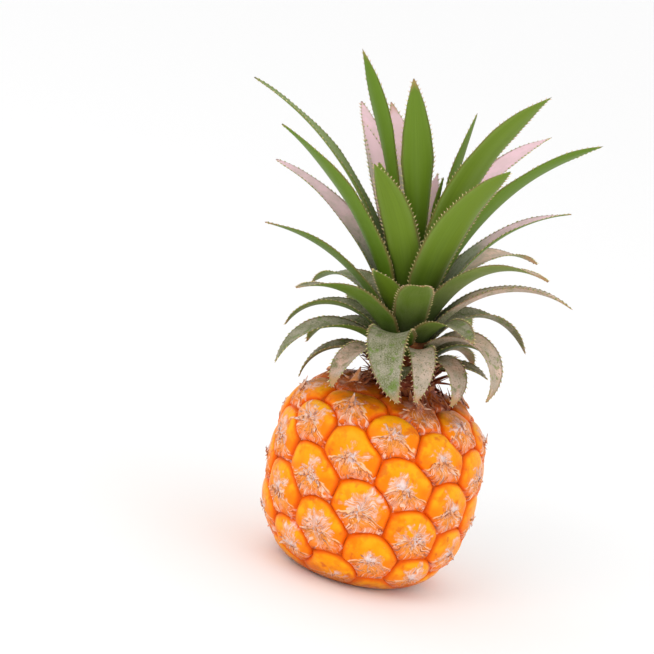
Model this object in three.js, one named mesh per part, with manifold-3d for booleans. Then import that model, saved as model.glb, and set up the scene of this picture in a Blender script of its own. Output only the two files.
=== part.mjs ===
// A small orange pineapple: a plump body covered in spiral eyes, with a spiny crown of leaves.
// Millimetres, +Z up the axis of the fruit, which rests on a small flat spot at z = 0.
import * as THREE from 'three';
import { ConvexHull } from 'three/addons/math/ConvexHull.js';
import Module from 'manifold-3d';

// Body of the fruit: a squared-off ellipsoid through the tops of the eyes
const BODY_RADIUS = 46;
const BODY_HEIGHT_ABOVE = 39;
const BODY_HEIGHT_BELOW = 46.3;
const BODY_CENTRE_Z = 44;
const BODY_SQUARENESS = 3;

// Eyes, laid along one golden-angle spiral so that each has the same share of the skin
const GOLDEN_ANGLE = 137.508;
const EYE_COUNT = 63;
const EYE_FIRST_ANGLE = 328.4;
const EYE_FIRST_SHARE = 0.5;
const GROOVE_DEPTH = 3.2;
const EYE_RINGS = [0.74, 0.34];
const BRACT_HEIGHT = 2.2;
const BRACT_RISE = 2.4;
const SHOULDER_BRACT_HEIGHT = 4;
const SHOULDER_Z = 66;
const BASE_FADE_Z = 9;

// Neck and stem of the crown, growing out of the top of the fruit
const CROWN_START = new THREE.Vector3(2.5, 0, 86);
const CROWN_LEAN = 10;
const STEM_SUNK = 12;
const STEM_HEIGHT = 41;
const STEM_RADIUS = 12.5;
const STEM_TIP_RADIUS = 2.4;
const STEM_TAPER_POWER = 1.25;
const STEM_SIDES = 18;
const STEM_RINGS = 6;
const STEM_BUD = 11;

// Dry bracts in a collar around the neck
const NECK_BRACT_COUNT = 16;
const NECK_BRACT_HEIGHT = 0.4;
const NECK_BRACT_STEP = 0.12;
const NECK_BRACT_LENGTH = 9;
const NECK_BRACT_WIDTH = 4.4;
const NECK_BRACT_THICKNESS = 1.6;
const NECK_BRACT_LEAN = 68;
const NECK_BRACT_SUNK = 2;

// Leaves of the crown, from the innermost and highest to the outermost and lowest
const LEAF_FIRST_ANGLE = -27;
const LEAF_TOP_ROOT = 37;
const LEAF_ROOT_DROP = 33;
const LEAF_TOP_LEAN = 4;
const LEAF_LEAN_RANGE = 58;
const LEAF_LEAN_POWER = 1.15;
const LEAF_BEND_POWER = 1.15;
const LEAF_STEM_GAP = 0.8;
const LEAF_MID_THICKNESS = 1.1;
const LEAF_EDGE_THICKNESS = 0.7;
const LEAF_TIP_HALF_WIDTH = 0.45;
const LEAF_BASE_CHANNEL = 0.42;
const LEAF_TIP_CHANNEL = 0.16;
const LEAF_CLASP_INNER = 22;
const LEAF_CLASP_OUTER = 33;

// Spines along both margins of every leaf
const SPINE_SPACING = 9.5;
const SPINE_BASE = 2.4;
const SPINE_LENGTH = 1.5;
const SPINE_FORWARD = 1.1;

// Each leaf in spiral order: length, width, lean of the tip, sideways sweep of the tip, twist of the blade
const LEAVES = [
  [48, 8, 6, 4, 0], [100, 14, 18, -14, -35], [50, 10, 16, 0, 0], [96, 15, 22, -10, 0],
  [75, 14, 36, 0, 0], [80, 15, 15, 0, 30], [62, 14, 26, 0, 0], [84, 14, 35, 14, 0],
  [114, 15, 55, 7, 20], [113, 12, 62, 0, 0], [97, 15, 75, 0, 0], [74, 15, 42, -11, 0],
  [94, 15, 50, -4, 0], [106, 16, 69, 0, 25], [98, 16, 54, 0, -8], [55, 15, 62, 0, 0],
  [90, 16, 55, 13, 8], [85, 15, 72, 0, 0], [78, 15, 85, -2, 10], [34, 13, 58, 0, 0],
  [85, 16, 85, 0, 0], [74, 16, 105, -6, 15], [69, 16, 80, 0, -15], [74, 16, 120, -9, 0],
  [45, 15, 75, 3, 0], [54, 16, 130, 4, 0], [66, 16, 125, 4, 10], [58, 17, 98, 0, -12],
  [70, 16, 115, 0, 0], [40, 15, 125, 0, 0], [50, 16, 150, 0, -8], [50, 16, 165, -12, 0],
  [56, 17, 190, 14, 0], [58, 16, 140, 0, 0], [48, 16, 205, -10, 0], [54, 15, 160, -2, 0],
  [50, 16, 148, 0, 0], [42, 11, 185, -6, 0], [45, 15, 152, 0, 0], [36, 14, 182, 0, 0],
  [46, 12, 150, 4, 0], [40, 14, 152, 0, 0], [32, 12, 195, -8, 0], [38, 12, 165, 4, 0],
  [30, 12, 155, 0, 0], [24, 11, 130, 0, 0], [26, 11, 128, 0, 0], [23, 10, 130, 0, 0],
];

// Width along a leaf as shares of its length and of its widest half-width
const WIDTH_PLACES = [0, 0.2, 0.4, 0.6, 0.75, 0.88, 0.96, 1];
const WIDTH_SHARES = [0.94, 0.95, 1, 0.93, 0.76, 0.47, 0.2, 0.03];

const UP = new THREE.Vector3(0, 0, 1);
const wasm = await Module();
wasm.setup();

function blend(from, to, share) {
  return from + (to - from) * share;
}

function smooth(from, to, value) {
  const share = Math.min(1, Math.max(0, (value - from) / (to - from)));
  return share * share * (3 - 2 * share);
}

function solidFrom(points, triangles) {
  const vertProperties = new Float32Array(points.flatMap((point) => [point.x, point.y, point.z]));
  const triVerts = new Uint32Array(triangles.flat());
  return new wasm.Manifold(new wasm.Mesh({ numProp: 3, vertProperties, triVerts }));
}

function geometryFrom(points, triangles) {
  const geometry = new THREE.BufferGeometry();
  geometry.setFromPoints(points);
  geometry.setIndex(triangles.flat());
  geometry.computeVertexNormals();
  return geometry;
}

function namedMesh(name, geometry, colour, roughness) {
  const material = new THREE.MeshStandardMaterial({ color: colour, roughness, metalness: 0 });
  const mesh = new THREE.Mesh(geometry, material);
  mesh.name = name;
  return mesh;
}

// Body surface, measured from the middle of the body
function halfHeight(height) {
  return height < 0 ? BODY_HEIGHT_BELOW : BODY_HEIGHT_ABOVE;
}

function bodyProfile(turn) {
  const power = 2 / BODY_SQUARENESS;
  const radius = BODY_RADIUS * Math.abs(Math.cos(turn)) ** power;
  const height = halfHeight(turn) * Math.sign(Math.sin(turn)) * Math.abs(Math.sin(turn)) ** power;
  return [radius, height];
}

function equalAreaRings(count, firstShare) {
  const steps = 2000;
  const areas = [0];
  const rings = [bodyProfile(-Math.PI / 2)];
  for (let step = 1; step <= steps; step += 1) {
    const ring = bodyProfile(-Math.PI / 2 + (Math.PI * step) / steps);
    const before = rings[step - 1];
    const slant = Math.hypot(ring[0] - before[0], ring[1] - before[1]);
    areas.push(areas[step - 1] + (ring[0] + before[0]) * slant);
    rings.push(ring);
  }
  const chosen = [];
  for (let index = 0; index < count; index += 1) {
    const wanted = (areas[steps] * (index + firstShare)) / count;
    chosen.push(rings[areas.findIndex((area) => area >= wanted)]);
  }
  return chosen;
}

function ontoBody(point) {
  const across = (Math.hypot(point.x, point.y) / BODY_RADIUS) ** BODY_SQUARENESS;
  const along = (Math.abs(point.z) / halfHeight(point.z)) ** BODY_SQUARENESS;
  return point.clone().multiplyScalar((across + along) ** (-1 / BODY_SQUARENESS));
}

function bodyNormal(point) {
  const power = BODY_SQUARENESS - 1;
  const high = halfHeight(point.z);
  const radius = Math.max(1e-6, Math.hypot(point.x, point.y));
  const across = (radius / BODY_RADIUS) ** power / BODY_RADIUS;
  const along = (Math.sign(point.z) * (Math.abs(point.z) / high) ** power) / high;
  return new THREE.Vector3((point.x / radius) * across, (point.y / radius) * across, along).normalize();
}

// A point of the skin between an eye's middle and its edge, sinking into the groove at the edge
function skinPoint(middle, edge, share) {
  const place = ontoBody(middle.clone().lerp(edge, share));
  const fade = smooth(0, BASE_FADE_Z, place.z + BODY_CENTRE_Z);
  const depth = GROOVE_DEPTH * fade * share ** 4;
  return place.addScaledVector(bodyNormal(place), -depth);
}

function bractPoint(middle) {
  const height = middle.z + BODY_CENTRE_Z;
  const outward = bodyNormal(middle);
  const upward = UP.clone().addScaledVector(outward, -outward.z).normalize();
  const long = smooth(SHOULDER_Z, BODY_CENTRE_Z + BODY_HEIGHT_ABOVE, height);
  const fade = smooth(0, BASE_FADE_Z, height);
  const lift = blend(BRACT_HEIGHT, SHOULDER_BRACT_HEIGHT, long) * fade;
  return middle.clone().addScaledVector(outward, lift).addScaledVector(upward, BRACT_RISE * fade);
}

function eyeMiddles() {
  return equalAreaRings(EYE_COUNT, EYE_FIRST_SHARE).map(([radius, height], index) => {
    const angle = THREE.MathUtils.degToRad(EYE_FIRST_ANGLE + GOLDEN_ANGLE * index);
    return new THREE.Vector3(radius * Math.sin(angle), -radius * Math.cos(angle), height);
  });
}

// The same spiral on a ball, where the hull of the points joins each eye to its nearest neighbours
function ballPoints() {
  const points = [];
  for (let index = 0; index < EYE_COUNT; index += 1) {
    const angle = THREE.MathUtils.degToRad(EYE_FIRST_ANGLE + GOLDEN_ANGLE * index);
    const height = (2 * (index + EYE_FIRST_SHARE)) / EYE_COUNT - 1;
    const radius = Math.sqrt(1 - height * height);
    points.push(new THREE.Vector3(radius * Math.sin(angle), -radius * Math.cos(angle), height));
  }
  return points;
}

// The eyes that meet in threes, in turning order seen from outside
function neighbourThrees() {
  const spiral = ballPoints();
  const numbers = new Map(spiral.map((point, index) => [point, index]));
  const hull = new ConvexHull().setFromPoints(spiral);
  return hull.faces.map((face) => {
    const first = face.getEdge(0);
    const second = face.getEdge(1);
    const third = face.getEdge(2);
    return [first, second, third].map((edge) => numbers.get(edge.head().point));
  });
}

// Body skin: every eye is a domed cell, its rim shared with the cells around it
function bodySolid() {
  const middles = eyeMiddles();
  const threes = neighbourThrees();
  const points = [];
  const triangles = [];
  const rimNumbers = new Map();

  function rimPoint(members) {
    const key = [...members].sort((a, b) => a - b).join(' ');
    if (!rimNumbers.has(key)) {
      const sum = new THREE.Vector3();
      members.forEach((member) => sum.add(middles[member]));
      const place = ontoBody(sum.divideScalar(members.length));
      const sunk = skinPoint(place, place, 1);
      rimNumbers.set(key, points.push(sunk) - 1);
    }
    return rimNumbers.get(key);
  }

  middles.forEach((middle, eye) => {
    const next = new Map();
    threes.filter((three) => three.includes(eye)).forEach((three) => {
      const at = three.indexOf(eye);
      next.set(three[(at + 1) % 3], three[(at + 2) % 3]);
    });
    const rim = [];
    let neighbour = next.keys().next().value;
    for (let count = 0; count < next.size; count += 1) {
      const following = next.get(neighbour);
      rim.push(rimPoint([eye, neighbour]));
      rim.push(rimPoint([eye, neighbour, following]));
      neighbour = following;
    }
    let outer = rim;
    EYE_RINGS.forEach((share) => {
      const inner = rim.map((number) => {
        const edge = ontoBody(points[number]);
        return points.push(skinPoint(middle, edge, share)) - 1;
      });
      outer.forEach((number, at) => {
        const after = (at + 1) % outer.length;
        triangles.push([number, outer[after], inner[after]]);
        triangles.push([number, inner[after], inner[at]]);
      });
      outer = inner;
    });
    const peak = points.push(bractPoint(middle)) - 1;
    outer.forEach((number, at) => {
      triangles.push([number, outer[(at + 1) % outer.length], peak]);
    });
  });
  points.forEach((point) => {
    point.z += BODY_CENTRE_Z;
  });
  return solidFrom(points, triangles);
}

// Crown frame: its axis leans away from the axis of the fruit
function crownMatrix() {
  const matrix = new THREE.Matrix4().makeRotationY(THREE.MathUtils.degToRad(-CROWN_LEAN));
  return matrix.setPosition(CROWN_START);
}

function stemRadius(height) {
  const share = Math.min(1, Math.max(0, height / STEM_HEIGHT));
  return blend(STEM_RADIUS, STEM_TIP_RADIUS, share ** STEM_TAPER_POWER);
}

function stemSolid() {
  const points = [new THREE.Vector3(0, 0, -STEM_SUNK)];
  const triangles = [];
  const heights = [-STEM_SUNK];
  for (let ring = 0; ring <= STEM_RINGS; ring += 1) {
    heights.push((STEM_HEIGHT * ring) / STEM_RINGS);
  }
  heights.forEach((height, ring) => {
    for (let side = 0; side < STEM_SIDES; side += 1) {
      const angle = (2 * Math.PI * side) / STEM_SIDES;
      const radius = stemRadius(height);
      points.push(new THREE.Vector3(radius * Math.cos(angle), radius * Math.sin(angle), height));
      const here = 1 + ring * STEM_SIDES + side;
      const beside = 1 + ring * STEM_SIDES + ((side + 1) % STEM_SIDES);
      if (ring === 0) {
        triangles.push([0, beside, here]);
      } else {
        triangles.push([here - STEM_SIDES, beside - STEM_SIDES, beside]);
        triangles.push([here - STEM_SIDES, beside, here]);
      }
    }
  });
  const top = points.push(new THREE.Vector3(0, 0, STEM_HEIGHT + STEM_BUD)) - 1;
  const last = top - STEM_SIDES;
  for (let side = 0; side < STEM_SIDES; side += 1) {
    triangles.push([last + side, last + ((side + 1) % STEM_SIDES), top]);
  }
  const matrix = crownMatrix();
  points.forEach((point) => point.applyMatrix4(matrix));
  return solidFrom(points, triangles);
}

// One dry bract: a flat spike with its root sunk into the neck
function neckBractSolid(index) {
  const angle = THREE.MathUtils.degToRad(GOLDEN_ANGLE * index);
  const lean = THREE.MathUtils.degToRad(NECK_BRACT_LEAN);
  const outward = new THREE.Vector3(Math.cos(angle), Math.sin(angle), 0);
  const sideways = new THREE.Vector3(-Math.sin(angle), Math.cos(angle), 0);
  const forward = outward.clone().multiplyScalar(Math.sin(lean)).addScaledVector(UP, Math.cos(lean));
  const above = sideways.clone().cross(forward).negate();
  const height = NECK_BRACT_HEIGHT - NECK_BRACT_STEP * index;
  const root = outward.clone().multiplyScalar(STEM_RADIUS - NECK_BRACT_SUNK).addScaledVector(UP, height);
  const corners = [[-1, 0], [0, 1], [1, 0], [0, -1]];
  const points = corners.map(([across, face]) => {
    const point = root.clone().addScaledVector(sideways, (across * NECK_BRACT_WIDTH) / 2);
    return point.addScaledVector(above, (face * NECK_BRACT_THICKNESS) / 2);
  });
  points.push(root.clone().addScaledVector(forward, NECK_BRACT_LENGTH + NECK_BRACT_SUNK));
  const matrix = crownMatrix();
  points.forEach((point) => point.applyMatrix4(matrix));
  return solidFrom(points, [[1, 0, 4], [2, 1, 4], [3, 2, 4], [0, 3, 4], [3, 0, 1], [3, 1, 2]]);
}

function fruitGeometry() {
  let whole = bodySolid().add(stemSolid());
  for (let bract = 0; bract < NECK_BRACT_COUNT; bract += 1) {
    whole = whole.add(neckBractSolid(bract));
  }
  whole = whole.trimByPlane([0, 0, 1], 0);
  const mesh = whole.getMesh();
  const points = [];
  for (let at = 0; at < mesh.vertProperties.length; at += mesh.numProp) {
    points.push(new THREE.Vector3().fromArray(mesh.vertProperties, at));
  }
  const triangles = [];
  for (let at = 0; at < mesh.triVerts.length; at += 3) {
    triangles.push([...mesh.triVerts.subarray(at, at + 3)]);
  }
  return geometryFrom(points, triangles);
}

// Centre line of a leaf in the crown frame, with its tangent, upper normal and side direction
function leafLine(index, place) {
  const [length, , tipLean, sweep, twist] = LEAVES[index];
  const order = index / (LEAVES.length - 1);
  const rootLean = LEAF_TOP_LEAN + LEAF_LEAN_RANGE * order ** LEAF_LEAN_POWER;
  const leanAt = (share) =>
    THREE.MathUtils.degToRad(blend(rootLean, tipLean, share ** LEAF_BEND_POWER));
  const angle = THREE.MathUtils.degToRad(LEAF_FIRST_ANGLE - GOLDEN_ANGLE * index);
  const outward = new THREE.Vector3(Math.cos(angle), Math.sin(angle), 0);
  const sideways = new THREE.Vector3(-Math.sin(angle), Math.cos(angle), 0);
  const rootHeight = LEAF_TOP_ROOT - LEAF_ROOT_DROP * order;
  let reach = stemRadius(rootHeight) + LEAF_STEM_GAP + LEAF_MID_THICKNESS / 2;
  let height = rootHeight;
  const steps = 40;
  for (let step = 0; step < steps; step += 1) {
    const lean = leanAt((place * (step + 0.5)) / steps);
    reach += ((length * place) / steps) * Math.sin(lean);
    height += ((length * place) / steps) * Math.cos(lean);
  }
  const lean = leanAt(place);
  const middle = outward.clone().multiplyScalar(reach);
  middle.addScaledVector(sideways, sweep * place ** 2).addScaledVector(UP, height);
  const forward = outward.clone().multiplyScalar(Math.sin(lean)).addScaledVector(UP, Math.cos(lean));
  forward.addScaledVector(sideways, (2 * sweep * place) / length).normalize();
  const above = outward.clone().multiplyScalar(-Math.cos(lean)).addScaledVector(UP, Math.sin(lean));
  const side = forward.clone().cross(above).normalize();
  side.applyAxisAngle(forward, -THREE.MathUtils.degToRad(twist * place));
  return { middle, forward, side, above: side.clone().cross(forward), reach, order };
}

function leafHalfWidth(index, place, line) {
  const at = WIDTH_PLACES.findIndex((limit) => limit >= place);
  const low = Math.max(0, at - 1);
  const gap = WIDTH_PLACES[at] - WIDTH_PLACES[low];
  const share = gap > 0 ? (place - WIDTH_PLACES[low]) / gap : 0;
  const free = (LEAVES[index][1] / 2) * blend(WIDTH_SHARES[low], WIDTH_SHARES[at], share);
  const clasp = THREE.MathUtils.degToRad(blend(LEAF_CLASP_INNER, LEAF_CLASP_OUTER, Math.sqrt(line.order)));
  return Math.max(LEAF_TIP_HALF_WIDTH, Math.min(free, line.reach * Math.sin(clasp)));
}

// One leaf blade: a thin channel of six points around, pinched out to a spine at every pair of stations
function leafGeometry(index) {
  const length = LEAVES[index][0];
  const spines = Math.max(2, Math.round((length * 0.9) / SPINE_SPACING));
  const stations = [0];
  for (let spine = 0; spine < spines; spine += 1) {
    const centre = 0.1 + (0.86 * (spine + 0.5)) / spines;
    stations.push(centre - SPINE_BASE / 2 / length, centre + SPINE_BASE / 2 / length);
  }
  stations.push(1);
  const points = [];
  const triangles = [];
  const matrix = crownMatrix();
  const lines = stations.map((place) => leafLine(index, place));
  stations.forEach((place, station) => {
    const line = lines[station];
    const half = leafHalfWidth(index, place, line);
    const rise = blend(LEAF_BASE_CHANNEL, LEAF_TIP_CHANNEL, place) * half;
    const corners = [[-1, 1], [0, 1], [1, 1], [1, -1], [0, -1], [-1, -1]];
    corners.forEach(([across, face]) => {
      const thick = across === 0 ? LEAF_MID_THICKNESS : LEAF_EDGE_THICKNESS;
      const point = line.middle.clone().addScaledVector(line.side, across * half);
      points.push(point.addScaledVector(line.above, rise * Math.abs(across) + (face * thick) / 2));
    });
  });

  function pinch(a, b, c, d, station, across) {
    const tip = new THREE.Vector3();
    [a, b, c, d].forEach((number) => tip.addScaledVector(points[number], 0.25));
    tip.addScaledVector(lines[station].side, across * SPINE_LENGTH);
    tip.addScaledVector(lines[station].forward, SPINE_FORWARD);
    const peak = points.push(tip) - 1;
    triangles.push([a, b, peak], [b, c, peak], [c, d, peak], [d, a, peak]);
  }

  triangles.push([1, 0, 4], [4, 0, 5], [2, 1, 3], [3, 1, 4]);
  for (let station = 0; station + 1 < stations.length; station += 1) {
    const here = station * 6;
    const next = here + 6;
    for (const [a, b] of [[0, 1], [1, 2]]) {
      triangles.push([here + a, here + b, next + b], [here + a, next + b, next + a]);
    }
    for (const [a, b] of [[3, 4], [4, 5]]) {
      triangles.push([here + a, here + b, next + a], [here + b, next + b, next + a]);
    }
    if (station % 2 === 1) {
      pinch(here + 2, here + 3, next + 3, next + 2, station, 1);
      pinch(here + 5, here, next, next + 5, station, -1);
    } else {
      triangles.push([here + 2, here + 3, next + 3], [here + 2, next + 3, next + 2]);
      triangles.push([here + 5, here, next], [here + 5, next, next + 5]);
    }
  }
  const end = (stations.length - 1) * 6;
  triangles.push([end, end + 1, end + 4], [end, end + 4, end + 5]);
  triangles.push([end + 1, end + 2, end + 3], [end + 1, end + 3, end + 4]);
  points.forEach((point) => point.applyMatrix4(matrix));
  return geometryFrom(points, triangles);
}

const pineapple = new THREE.Group();
pineapple.name = 'pineapple';
pineapple.add(namedMesh('fruit', fruitGeometry(), 0xf08a12, 0.45));
LEAVES.forEach((leaf, index) => {
  const name = `leaf_${String(index + 1).padStart(2, '0')}`;
  const colour = new THREE.Color(0x5f8a35).lerp(new THREE.Color(0x8b9a86), index / LEAVES.length);
  pineapple.add(namedMesh(name, leafGeometry(index), colour, 0.55));
});

export default pineapple;
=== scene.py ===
# %% [markdown]
# # A small orange pineapple
# The fruit stands on a flat spot under its body. Its skin is one spiral of raised eyes, each with a
# papery bract, and a crown of spiny leaves leans out of its neck. The solids give the places and the
# sizes; this lesson gives every surface its shape, its fibres and its colours.

import math

import bmesh
import bpy
import numpy as np
from mathutils import Matrix, Vector, noise


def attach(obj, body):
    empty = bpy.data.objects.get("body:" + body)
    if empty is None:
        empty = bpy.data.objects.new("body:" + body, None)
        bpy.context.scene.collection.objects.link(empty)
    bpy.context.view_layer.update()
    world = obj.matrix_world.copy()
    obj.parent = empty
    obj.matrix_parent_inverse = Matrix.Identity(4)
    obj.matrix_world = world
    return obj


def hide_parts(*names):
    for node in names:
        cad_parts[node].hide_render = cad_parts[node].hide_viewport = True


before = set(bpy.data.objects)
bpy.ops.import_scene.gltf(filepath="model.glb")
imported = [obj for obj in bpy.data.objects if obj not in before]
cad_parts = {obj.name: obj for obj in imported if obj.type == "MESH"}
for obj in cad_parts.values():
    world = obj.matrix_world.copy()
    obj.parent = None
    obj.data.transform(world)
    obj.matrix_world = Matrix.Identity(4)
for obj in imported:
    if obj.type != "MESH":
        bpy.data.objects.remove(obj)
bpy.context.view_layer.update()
MM = 0.001

# %% [markdown]
# ## Camera
# The fruit leans to the right in the picture, while here it stands upright on its flat spot. A camera
# that looks slightly down and is rolled by the same angle gives the same picture, and leaves the
# fruit square to its own axes. A long lens keeps the leaves that point at the viewer from growing.

# %% Aim the camera
VIEW_ELEVATION = math.radians(12.5)
VIEW_ROLL = math.radians(14.0)
VIEW_DISTANCE = 1.1
METRES_PER_PIXEL = 0.42 * MM
PICTURE_SIDE = 654
FRUIT_MIDDLE = Vector((0.0, 0.0, 0.044))
FRUIT_PIXEL = (374.5, 469.4)

look = Vector((0.0, math.cos(VIEW_ELEVATION), -math.sin(VIEW_ELEVATION)))
level_up = Vector((0.0, math.sin(VIEW_ELEVATION), math.cos(VIEW_ELEVATION)))
level_right = Vector((1.0, 0.0, 0.0))
picture_right = level_right * math.cos(VIEW_ROLL) + level_up * math.sin(VIEW_ROLL)
picture_up = level_up * math.cos(VIEW_ROLL) - level_right * math.sin(VIEW_ROLL)
shift_right = (FRUIT_PIXEL[0] - PICTURE_SIDE / 2) * METRES_PER_PIXEL
shift_down = (FRUIT_PIXEL[1] - PICTURE_SIDE / 2) * METRES_PER_PIXEL
target = FRUIT_MIDDLE - picture_right * shift_right + picture_up * shift_down

camera_data = bpy.data.cameras.new("studio_camera")
camera_data.sensor_width = 36.0
camera_data.lens = 36.0 * VIEW_DISTANCE / (METRES_PER_PIXEL * PICTURE_SIDE)
camera = bpy.data.objects.new("studio_camera", camera_data)
turn = Matrix((picture_right, picture_up, -look)).transposed().to_4x4()
camera.matrix_world = Matrix.Translation(target - look * VIEW_DISTANCE) @ turn
bpy.context.scene.collection.objects.link(camera)
bpy.context.scene.camera = camera
print("lens", round(camera_data.lens, 1), "mm, rolled", round(math.degrees(VIEW_ROLL), 1), "degrees")

# %% [markdown]
# ## Light and floor
# The picture is bright and almost without shadow. A white surround fills every hollow, and two large
# soft lamps, one high on the left and one low on the right, give the eyes and leaves their sheen.

# %% Studio
STUDIO_WHITE = (1.0, 1.0, 1.0, 1.0)


def soft_lamp(name, place, aim, side, power):
    """A large square lamp at a place, turned towards a point."""
    data = bpy.data.lights.new(name, "AREA")
    data.size = side
    data.energy = power
    lamp = bpy.data.objects.new(name, data)
    lamp.location = place
    lamp.rotation_euler = (Vector(aim) - Vector(place)).to_track_quat("-Z", "Y").to_euler()
    bpy.context.scene.collection.objects.link(lamp)
    return lamp


world = bpy.data.worlds.new("studio_surround")
world.use_nodes = True
world.node_tree.nodes["Background"].inputs["Color"].default_value = STUDIO_WHITE
world.node_tree.nodes["Background"].inputs["Strength"].default_value = 1.0
bpy.context.scene.world = world
bpy.context.scene.view_settings.view_transform = "Standard"
soft_lamp("key_lamp", (-0.55, -0.75, 0.85), (0, 0, 0.1), 0.6, 2.6)
soft_lamp("fill_lamp", (0.75, -0.55, 0.35), (0, 0, 0.1), 0.6, 0.8)

floor_mesh = bpy.data.meshes.new("studio_floor")
floor_mesh.from_pydata([(-6, -6, 0), (6, -6, 0), (6, 6, 0), (-6, 6, 0)], [], [(0, 1, 2, 3)])
studio_floor = bpy.data.objects.new("studio_floor", floor_mesh)
bpy.context.scene.collection.objects.link(studio_floor)
floor_paint = bpy.data.materials.new("studio_floor_paint")
floor_paint.use_nodes = True
floor_shader = floor_paint.node_tree.nodes["Principled BSDF"]
floor_shader.inputs["Base Color"].default_value = (0.97, 0.97, 0.97, 1.0)
floor_shader.inputs["Roughness"].default_value = 0.9
floor_mesh.materials.append(floor_paint)
print("studio ready")

# %% [markdown]
# ## Short ways to place nodes
# Finishes are trees of nodes. They could be drawn by hand in the node editor, but a script can't keep
# that, and written out one link at a time they are long. These helpers place a node, set or link its
# sockets and hand back the output, so that a finish reads like a recipe.

# %% Colours and wiring


def tint(code):
    """A screen colour such as F5A010, as the linear colour that a socket takes."""
    shares = [int(code[at:at + 2], 16) / 255 for at in (0, 2, 4)]
    return tuple(s / 12.92 if s <= 0.04045 else ((s + 0.055) / 1.055) ** 2.4 for s in shares) + (1.0,)


class Wiring:
    """Places and links nodes in one tree."""

    def __init__(self, tree):
        self.tree = tree

    def put(self, socket, value):
        """Links a socket to another one, or sets it to a plain value."""
        if isinstance(value, bpy.types.NodeSocket):
            self.tree.links.new(value, socket)
        else:
            socket.default_value = value

    def node(self, kind, sockets=None, **settings):
        """A node with its settings made and its inputs put in place."""
        made = self.tree.nodes.new(kind)
        for name, value in settings.items():
            setattr(made, name, value)
        for name, value in (sockets or {}).items():
            self.put(made.inputs[name], value)
        return made

    def math(self, operation, first, second=0.0):
        return self.node("ShaderNodeMath", {0: first, 1: second}, operation=operation).outputs[0]

    def times(self, first, second):
        return self.math("MULTIPLY", first, second)

    def plus(self, first, second):
        return self.math("ADD", first, second)

    def minus(self, first, second):
        return self.math("SUBTRACT", first, second)

    def rest(self, share):
        """What is left of one whole."""
        return self.minus(1.0, share)

    def smooth(self, value, low, high):
        """A share that eases from 0 at the low value to 1 at the high one."""
        sockets = {"Value": value, "From Min": low, "From Max": high}
        return self.node("ShaderNodeMapRange", sockets, interpolation_type="SMOOTHSTEP").outputs[0]

    def mix(self, share, first, second):
        """The first colour, turning into the second one by a share."""
        sockets = {0: share, 6: first, 7: second}
        return self.node("ShaderNodeMix", sockets, data_type="RGBA").outputs[2]

    def triple(self, x, y, z):
        return self.node("ShaderNodeCombineXYZ", {0: x, 1: y, 2: z}).outputs[0]

    def noise(self, vector, scale, detail=2.0):
        sockets = {"Vector": vector, "Scale": scale, "Detail": detail}
        return self.node("ShaderNodeTexNoise", sockets).outputs[0]

    def split(self, vector):
        return self.node("ShaderNodeSeparateXYZ", {0: vector}).outputs

    def place(self):
        """The place on the object, in metres."""
        return self.node("ShaderNodeTexCoord").outputs["Object"]

    def map(self, name):
        """The two values of a map that is kept on the mesh."""
        return self.split(self.node("ShaderNodeUVMap", uv_map=name).outputs[0])

    def group(self, tree, sockets):
        return self.node("ShaderNodeGroup", sockets, node_tree=tree).outputs

    def bump(self, shader, height, distance, strength):
        """Fine relief that shows in the light only."""
        sockets = {"Height": height, "Distance": distance, "Strength": strength}
        self.put(shader.inputs["Normal"], self.node("ShaderNodeBump", sockets).outputs[0])


print("wiring ready, such as mid grey", tint("808080")[:3])

# %% New groups and finishes


def new_group(name, inputs, outputs):
    """An empty shader group with named value sockets, and its start and end nodes."""
    tree = bpy.data.node_groups.new(name, "ShaderNodeTree")
    for label, kind in inputs:
        tree.interface.new_socket(label, in_out="INPUT", socket_type=kind)
    for label, kind in outputs:
        tree.interface.new_socket(label, in_out="OUTPUT", socket_type=kind)
    start = tree.nodes.new("NodeGroupInput")
    end = tree.nodes.new("NodeGroupOutput")
    return tree, start.outputs, end.inputs


def new_finish(name, roughness):
    """A material with its wiring helper and its shader node."""
    finish = bpy.data.materials.new(name)
    finish.use_nodes = True
    shader = finish.node_tree.nodes["Principled BSDF"]
    shader.inputs["Roughness"].default_value = roughness
    return finish, Wiring(finish.node_tree), shader


print("helpers ready")

# %% [markdown]
# ## Two shared effects
# Leaves, dry bracts and the papery fan of each eye are all made of fibres, so one group draws fibres
# along a direction that each finish chooses. Leaves and skin also carry irregular blotches, from
# worn bloom to dry patches, and a second group draws those.

# %% Fibres and blotches
VALUE = "NodeSocketFloat"
VECTOR = "NodeSocketVector"

fibre_group, fibre_in, fibre_out = new_group(
    "fibres",
    [("Place", VECTOR), ("Cover", VALUE)],
    [("Fine", VALUE), ("Streak", VALUE), ("Broad", VALUE)],
)
wire = Wiring(fibre_group)
wire.put(fibre_out["Fine"], wire.noise(fibre_in["Place"], 4.6, 3.0))
wire.put(fibre_out["Broad"], wire.noise(fibre_in["Place"], 1.0, 2.0))
streak_noise = wire.noise(fibre_in["Place"], 2.3, 2.0)
streak_low = wire.minus(0.68, wire.times(fibre_in["Cover"], 0.3))
wire.put(fibre_out["Streak"], wire.smooth(streak_noise, streak_low, wire.plus(streak_low, 0.07)))

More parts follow.
